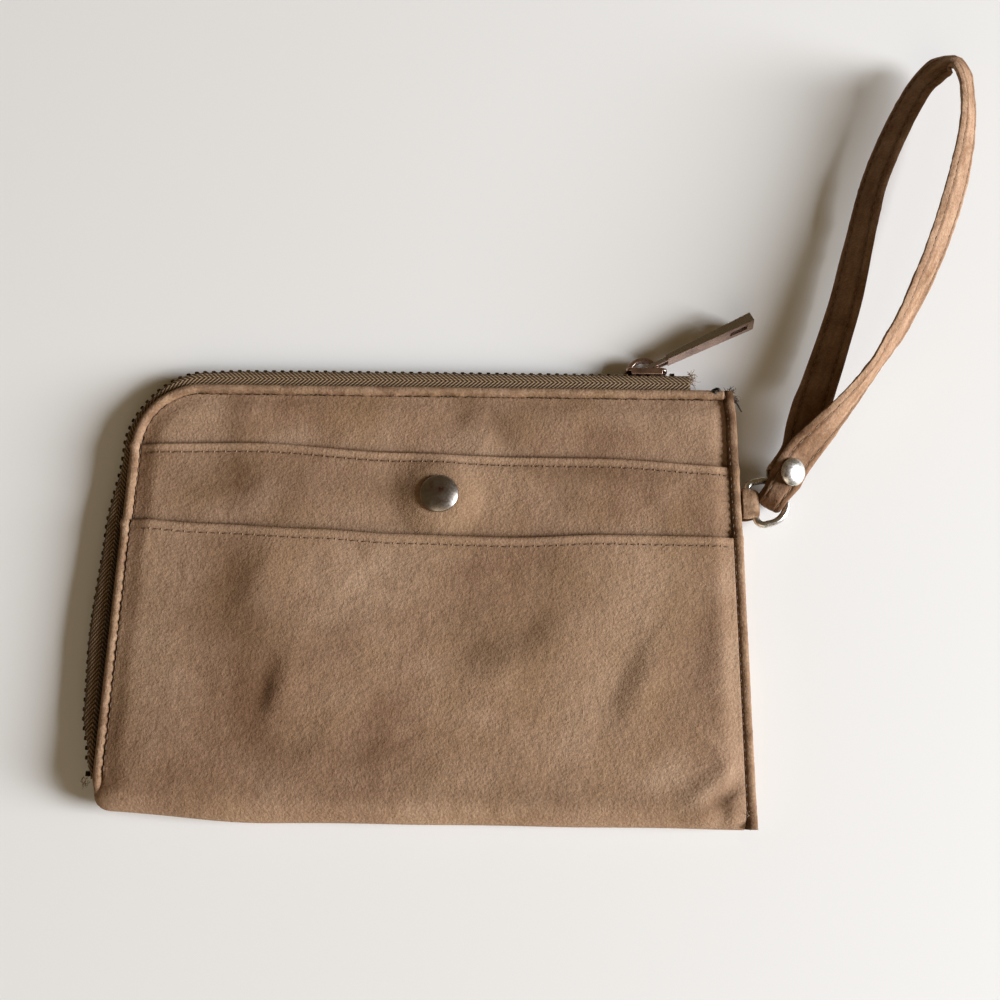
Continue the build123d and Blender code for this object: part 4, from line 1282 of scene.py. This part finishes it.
def ribbonFrames(stations, step=1.1):
    frames = []
    count = len(stations)
    for number in range(count - 1):
        four = [stations[min(max(number + shift, 0), count - 1)] for shift in (-1, 0, 1, 2)]
        pieces = max(2, int((four[2][0] - four[1][0]).length / step))
        for part in range(pieces):
            t = part / pieces
            place = catmull(*[s[0] for s in four], t)
            across = four[1][1].lerp(four[2][1], smooth(t) * 0.5 + t * 0.5)
            frames.append([place, across.normalized(), mix(four[1][2], four[2][2], t)])
    frames.append(list(stations[-1]))
    total = 0.0
    for number, item in enumerate(frames):
        before, after = frames[max(number - 1, 0)][0], frames[min(number + 1, len(frames) - 1)][0]
        tangent = (after - before).normalized()
        item[1] = (item[1] - tangent * item[1].dot(tangent)).normalized()
        if number:
            total += (item[0] - frames[number - 1][0]).length
        item.extend([tangent, total])
    return frames


def ribbonSection(width, thickness, travelled):
    # rounded flat section with two sewn channels on each face and a soft ridge between them
    points = []
    half, flat = width / 2, thickness / 2
    right = [0.15, 0.35, 0.5, 0.56, 0.6, 0.66, 0.76, 0.88, 0.97, 1.0]
    across = [-share for share in reversed(right)] + [0.0] + right
    for face in (1, -1):
        for share in (across if face > 0 else list(reversed(across))[1:-1]):
            crown = flat * (1 - abs(share) ** 7)
            channel = 0.34 * math.exp(-((abs(share) - 0.58) / 0.06) ** 2)
            rumple = 0.22 * waves(travelled, share * half, 3.2, 81 + face)
            rumple += 0.12 * waves(travelled, share * half, 1.3, 84)
            lift = max(0.02, crown - channel + rumple) if crown > 0.02 else 0.0
            points.append((share * half, face * lift))
    return points


strapFrames = ribbonFrames(strapStations())


def buildStrap():
    points, travelled = [], []
    for place, across, width, tangent, total in strapFrames:
        normal = tangent.cross(across).normalized()
        ring = ribbonSection(width + 0.25 * waves(total, 0, 9, 86), strap["thickness"], total)
        for a, b in ring:
            points.append(tuple(place + across * a + normal * b))
            travelled.append((total, a))
    points, faces = flipped(points, sweptFaces(len(strapFrames), len(ring)))
    piece = newPiece("wristStrap", points, faces, suedeStrap, "strap_suede", "strap", ["wrist_strap"])
    stainAndShade, rub = [], []
    for total, a in travelled:
        channel = math.exp(-((abs(a) / (strap["width"] / 2) - 0.58) / 0.09) ** 2)
        edge = smooth((abs(a) - 5.2) / 1.0)
        far = smooth((total - 215) / 14)
        near = 1 - smooth((total - 34) / 42)
        streak = 0.5 + waves(total * 0.16, a, 1.3, 87) + 0.5 * waves(total * 0.5, a, 0.9, 89)
        blot = 0.5 + waves(total, a, 4, 90)
        # darker along the sewn channels, near the rivet and in streaks; slight painted shade towards the far
        # end, where that leg lies in the other leg's shadow
        dark = 0.5 * channel + 0.05 * far + 0.35 * near * (0.4 + blot) + 0.25 * streak - 0.1
        stainAndShade.append(min(0.9, max(0.0, dark)))
        worn = (1 - 0.45 * far - 0.75 * near) * (0.65 * streak + 0.3 * edge) * (1 - 0.8 * channel)
        rub.append(max(0.0, min(0.8, worn)))
    paintValues(piece, "stainAndShade", stainAndShade)
    paintValues(piece, "rub", rub)


def buildStrapStitches():
    rng = random.Random(88)
    for name, face in (("strapStitchesOuter", 1), ("strapStitchesInner", -1)):
        parts = []
        for side in (-1, 1):
            nextAt = 4.0
            for number in range(1, len(strapFrames) - 3):
                place, across, width, tangent, total = strapFrames[number]
                if total < nextAt:
                    continue
                nextAt = total + 2.5 * rng.uniform(0.95, 1.05)
                normal = tangent.cross(across).normalized() * -face
                centre = place + across * (side * 0.58 * width / 2) + normal * (strap["thickness"] / 2 - 0.3)
                path = [tuple(centre + tangent * (t * 0.85) + normal * (0.12 - 0.2 * t * t))
                        for t in (-1, -0.5, 0, 0.5, 1)]
                parts.append(tubeAlong(path, 0.15, 6))
        newPiece(name, *joined(parts), tanThread, "strap_suede", "strap")


buildStrap()
buildStrapStitches()

capPlace = rivetPoint + rivetUp * (strap["plyStep"] + strap["thickness"] / 2 + 0.3)
basePlace = rivetPoint - rivetUp * (strap["plyStep"] + strap["thickness"] / 2 + 0.3)
newPiece("rivetCap", *joined([
    latheMesh(domeProfile(4.6, 1.9, 0.9), capPlace, strapAhead, rivetUp),
    latheMesh([(1.2, -4.0), (1.2, 0.05)], capPlace, strapAhead, rivetUp, 24),
]), brightNickel, "nickel", "strap", ["rivet_cap"])
newPiece("rivetBase", *joined([
    latheMesh([(3.5, 0.0), (3.95, 0.15), (4.0, 0.4), (3.85, 0.68), (3.4, 0.8), (1.6, 0.8), (1.2, 0.62),
               (0.1, 0.6)], basePlace, strapAhead, -rivetUp),
    latheMesh([(1.1, -3.9), (1.1, 0.05)], basePlace, strapAhead, -rivetUp, 24),
]), brightNickel, "nickel", "strap", ["rivet_base"])
print("strap built")

# ---- loose threads


def wildThread(start, heading, length, rng, droop=0.0, curl=0.6):
    place, direction = Vector(start), Vector(heading).normalized()
    path = [tuple(place)]
    for step in range(8):
        sideways = (rng.uniform(-curl, curl), rng.uniform(-curl, curl))
        direction += Vector((*sideways, rng.uniform(-curl, curl) * 0.5 - droop))
        direction.normalize()
        place = place + direction * (length / 8)
        place.z = max(0.4, place.z)
        path.append(tuple(place))
    return path


def frayTuft(name, spots, count, length, radius, material, seed):
    rng = random.Random(seed)
    parts = []
    for centre, heading, spread in spots:
        for number in range(count):
            start = [c + rng.uniform(-spread, spread) for c in centre]
            turned = [h + rng.uniform(-0.6, 0.6) for h in heading]
            path = wildThread(start, turned, length * rng.uniform(0.5, 1.3), rng, droop=0.06)
            parts.append(tubeAlong(path, lambda share: radius * (1 - 0.5 * share), 5))
    newPiece(name, *joined(parts), material, "zip_tape", "clutch_body")


def frayEnds():
    right, top, bottom = bag["right"], bag["top"], bag["bottom"]
    corner = (right - 2.2, top - 0.6, 6.8)
    foot = (right - 2.0, bottom + 1.9, 5.0)
    frayTuft("frayTopRight", [
        (corner, (0.8, 0.5, 0.1), 0.9), ((corner[0] + 1.0, corner[1] - 1.6, 6.0), (1, 0.1, 0), 0.9),
    ], 16, 2.6, 0.12, tanThread, 91)
    frayTuft("frayTopRightDark", [
        (corner, (0.3, 0.7, 0.2), 1.0), ((corner[0] + 1.6, corner[1] - 2.0, 6.2), (1, -0.4, 0), 0.5),
    ], 12, 2.4, 0.13, blackThread, 92)
    frayTuft("frayBottomRight", [
        (foot, (0.4, -0.8, 0), 1.1), ((foot[0], foot[1] + 3, 8.4), (0, -0.6, 0.2), 0.9),
    ], 14, 2.3, 0.11, tanThread, 93)
    frayTuft("frayTapeEnd", [
        ((zipDims["tapeEnd"], 73.6 + n, 6.3), (1, 0.2 - 0.2 * n, 0.1), 0.8) for n in range(4)
    ], 9, 2.4, 0.12, tanThread, 94)
    frayTuft("frayTapeFoot", [
        ((-103.5, bottom + 11.8, 5.5), (0.2, -1, 0), 1.3),
    ], 16, 1.8, 0.1, tanThread, 95)


def buildKnotAndThread():
    # the knotted end of the sewing thread, and a loose end that hangs off the binding
    right, top = bag["right"], bag["top"]
    hanging = wildThread((right - 0.6, top - 2.4, 5.6), (0.8, -0.8, -0.2), 5.6, random.Random(96),
                         droop=0.05, curl=0.25)
    knot = [(93.2 + 0.9 * math.cos(a) * (1 + 0.2 * math.sin(3 * a)), top - 0.5 + 0.8 * math.sin(a),
             8.4 + 0.5 * math.sin(2 * a)) for a in [2 * math.pi * n / 24 for n in range(24)]]
    newPiece("knotAndThread", *joined([
        tubeAlong(hanging, lambda share: 0.42 * (1 - 0.6 * share), 8),
        tubeAlong(knot, 0.5, 8, closed=True),
    ]), blackThread, "zip_tape", "clutch_body")


frayEnds()
buildKnotAndThread()
print("threads frayed")

# ---- linings


def buildLining(name, level, replaced):
    # a thin woven ply sewn in all round, lying flat against its leather
    grid = []
    inset = 0.9
    for row in range(41):
        line = []
        for number in range(61):
            x = mix(innerLeft + inset, innerRight - inset, number / 60)
            y = mix(bag["bottom"] + 5.0, topEdgeAt(x, inset), row / 40)
            line.append((x, y, level + 0.08 * waves(x, y, 14, 101)))
        grid.append(line)
    piece = leatherSheet(name, grid, offsetGrid(grid, 0.25), lining, "lining", 0.05)
    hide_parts(replaced)
    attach(piece, "clutch_body")


buildLining("backLining", 1.85, "back_lining")
buildLining("frontLining", 6.2, "front_lining")
print("linings sewn in")
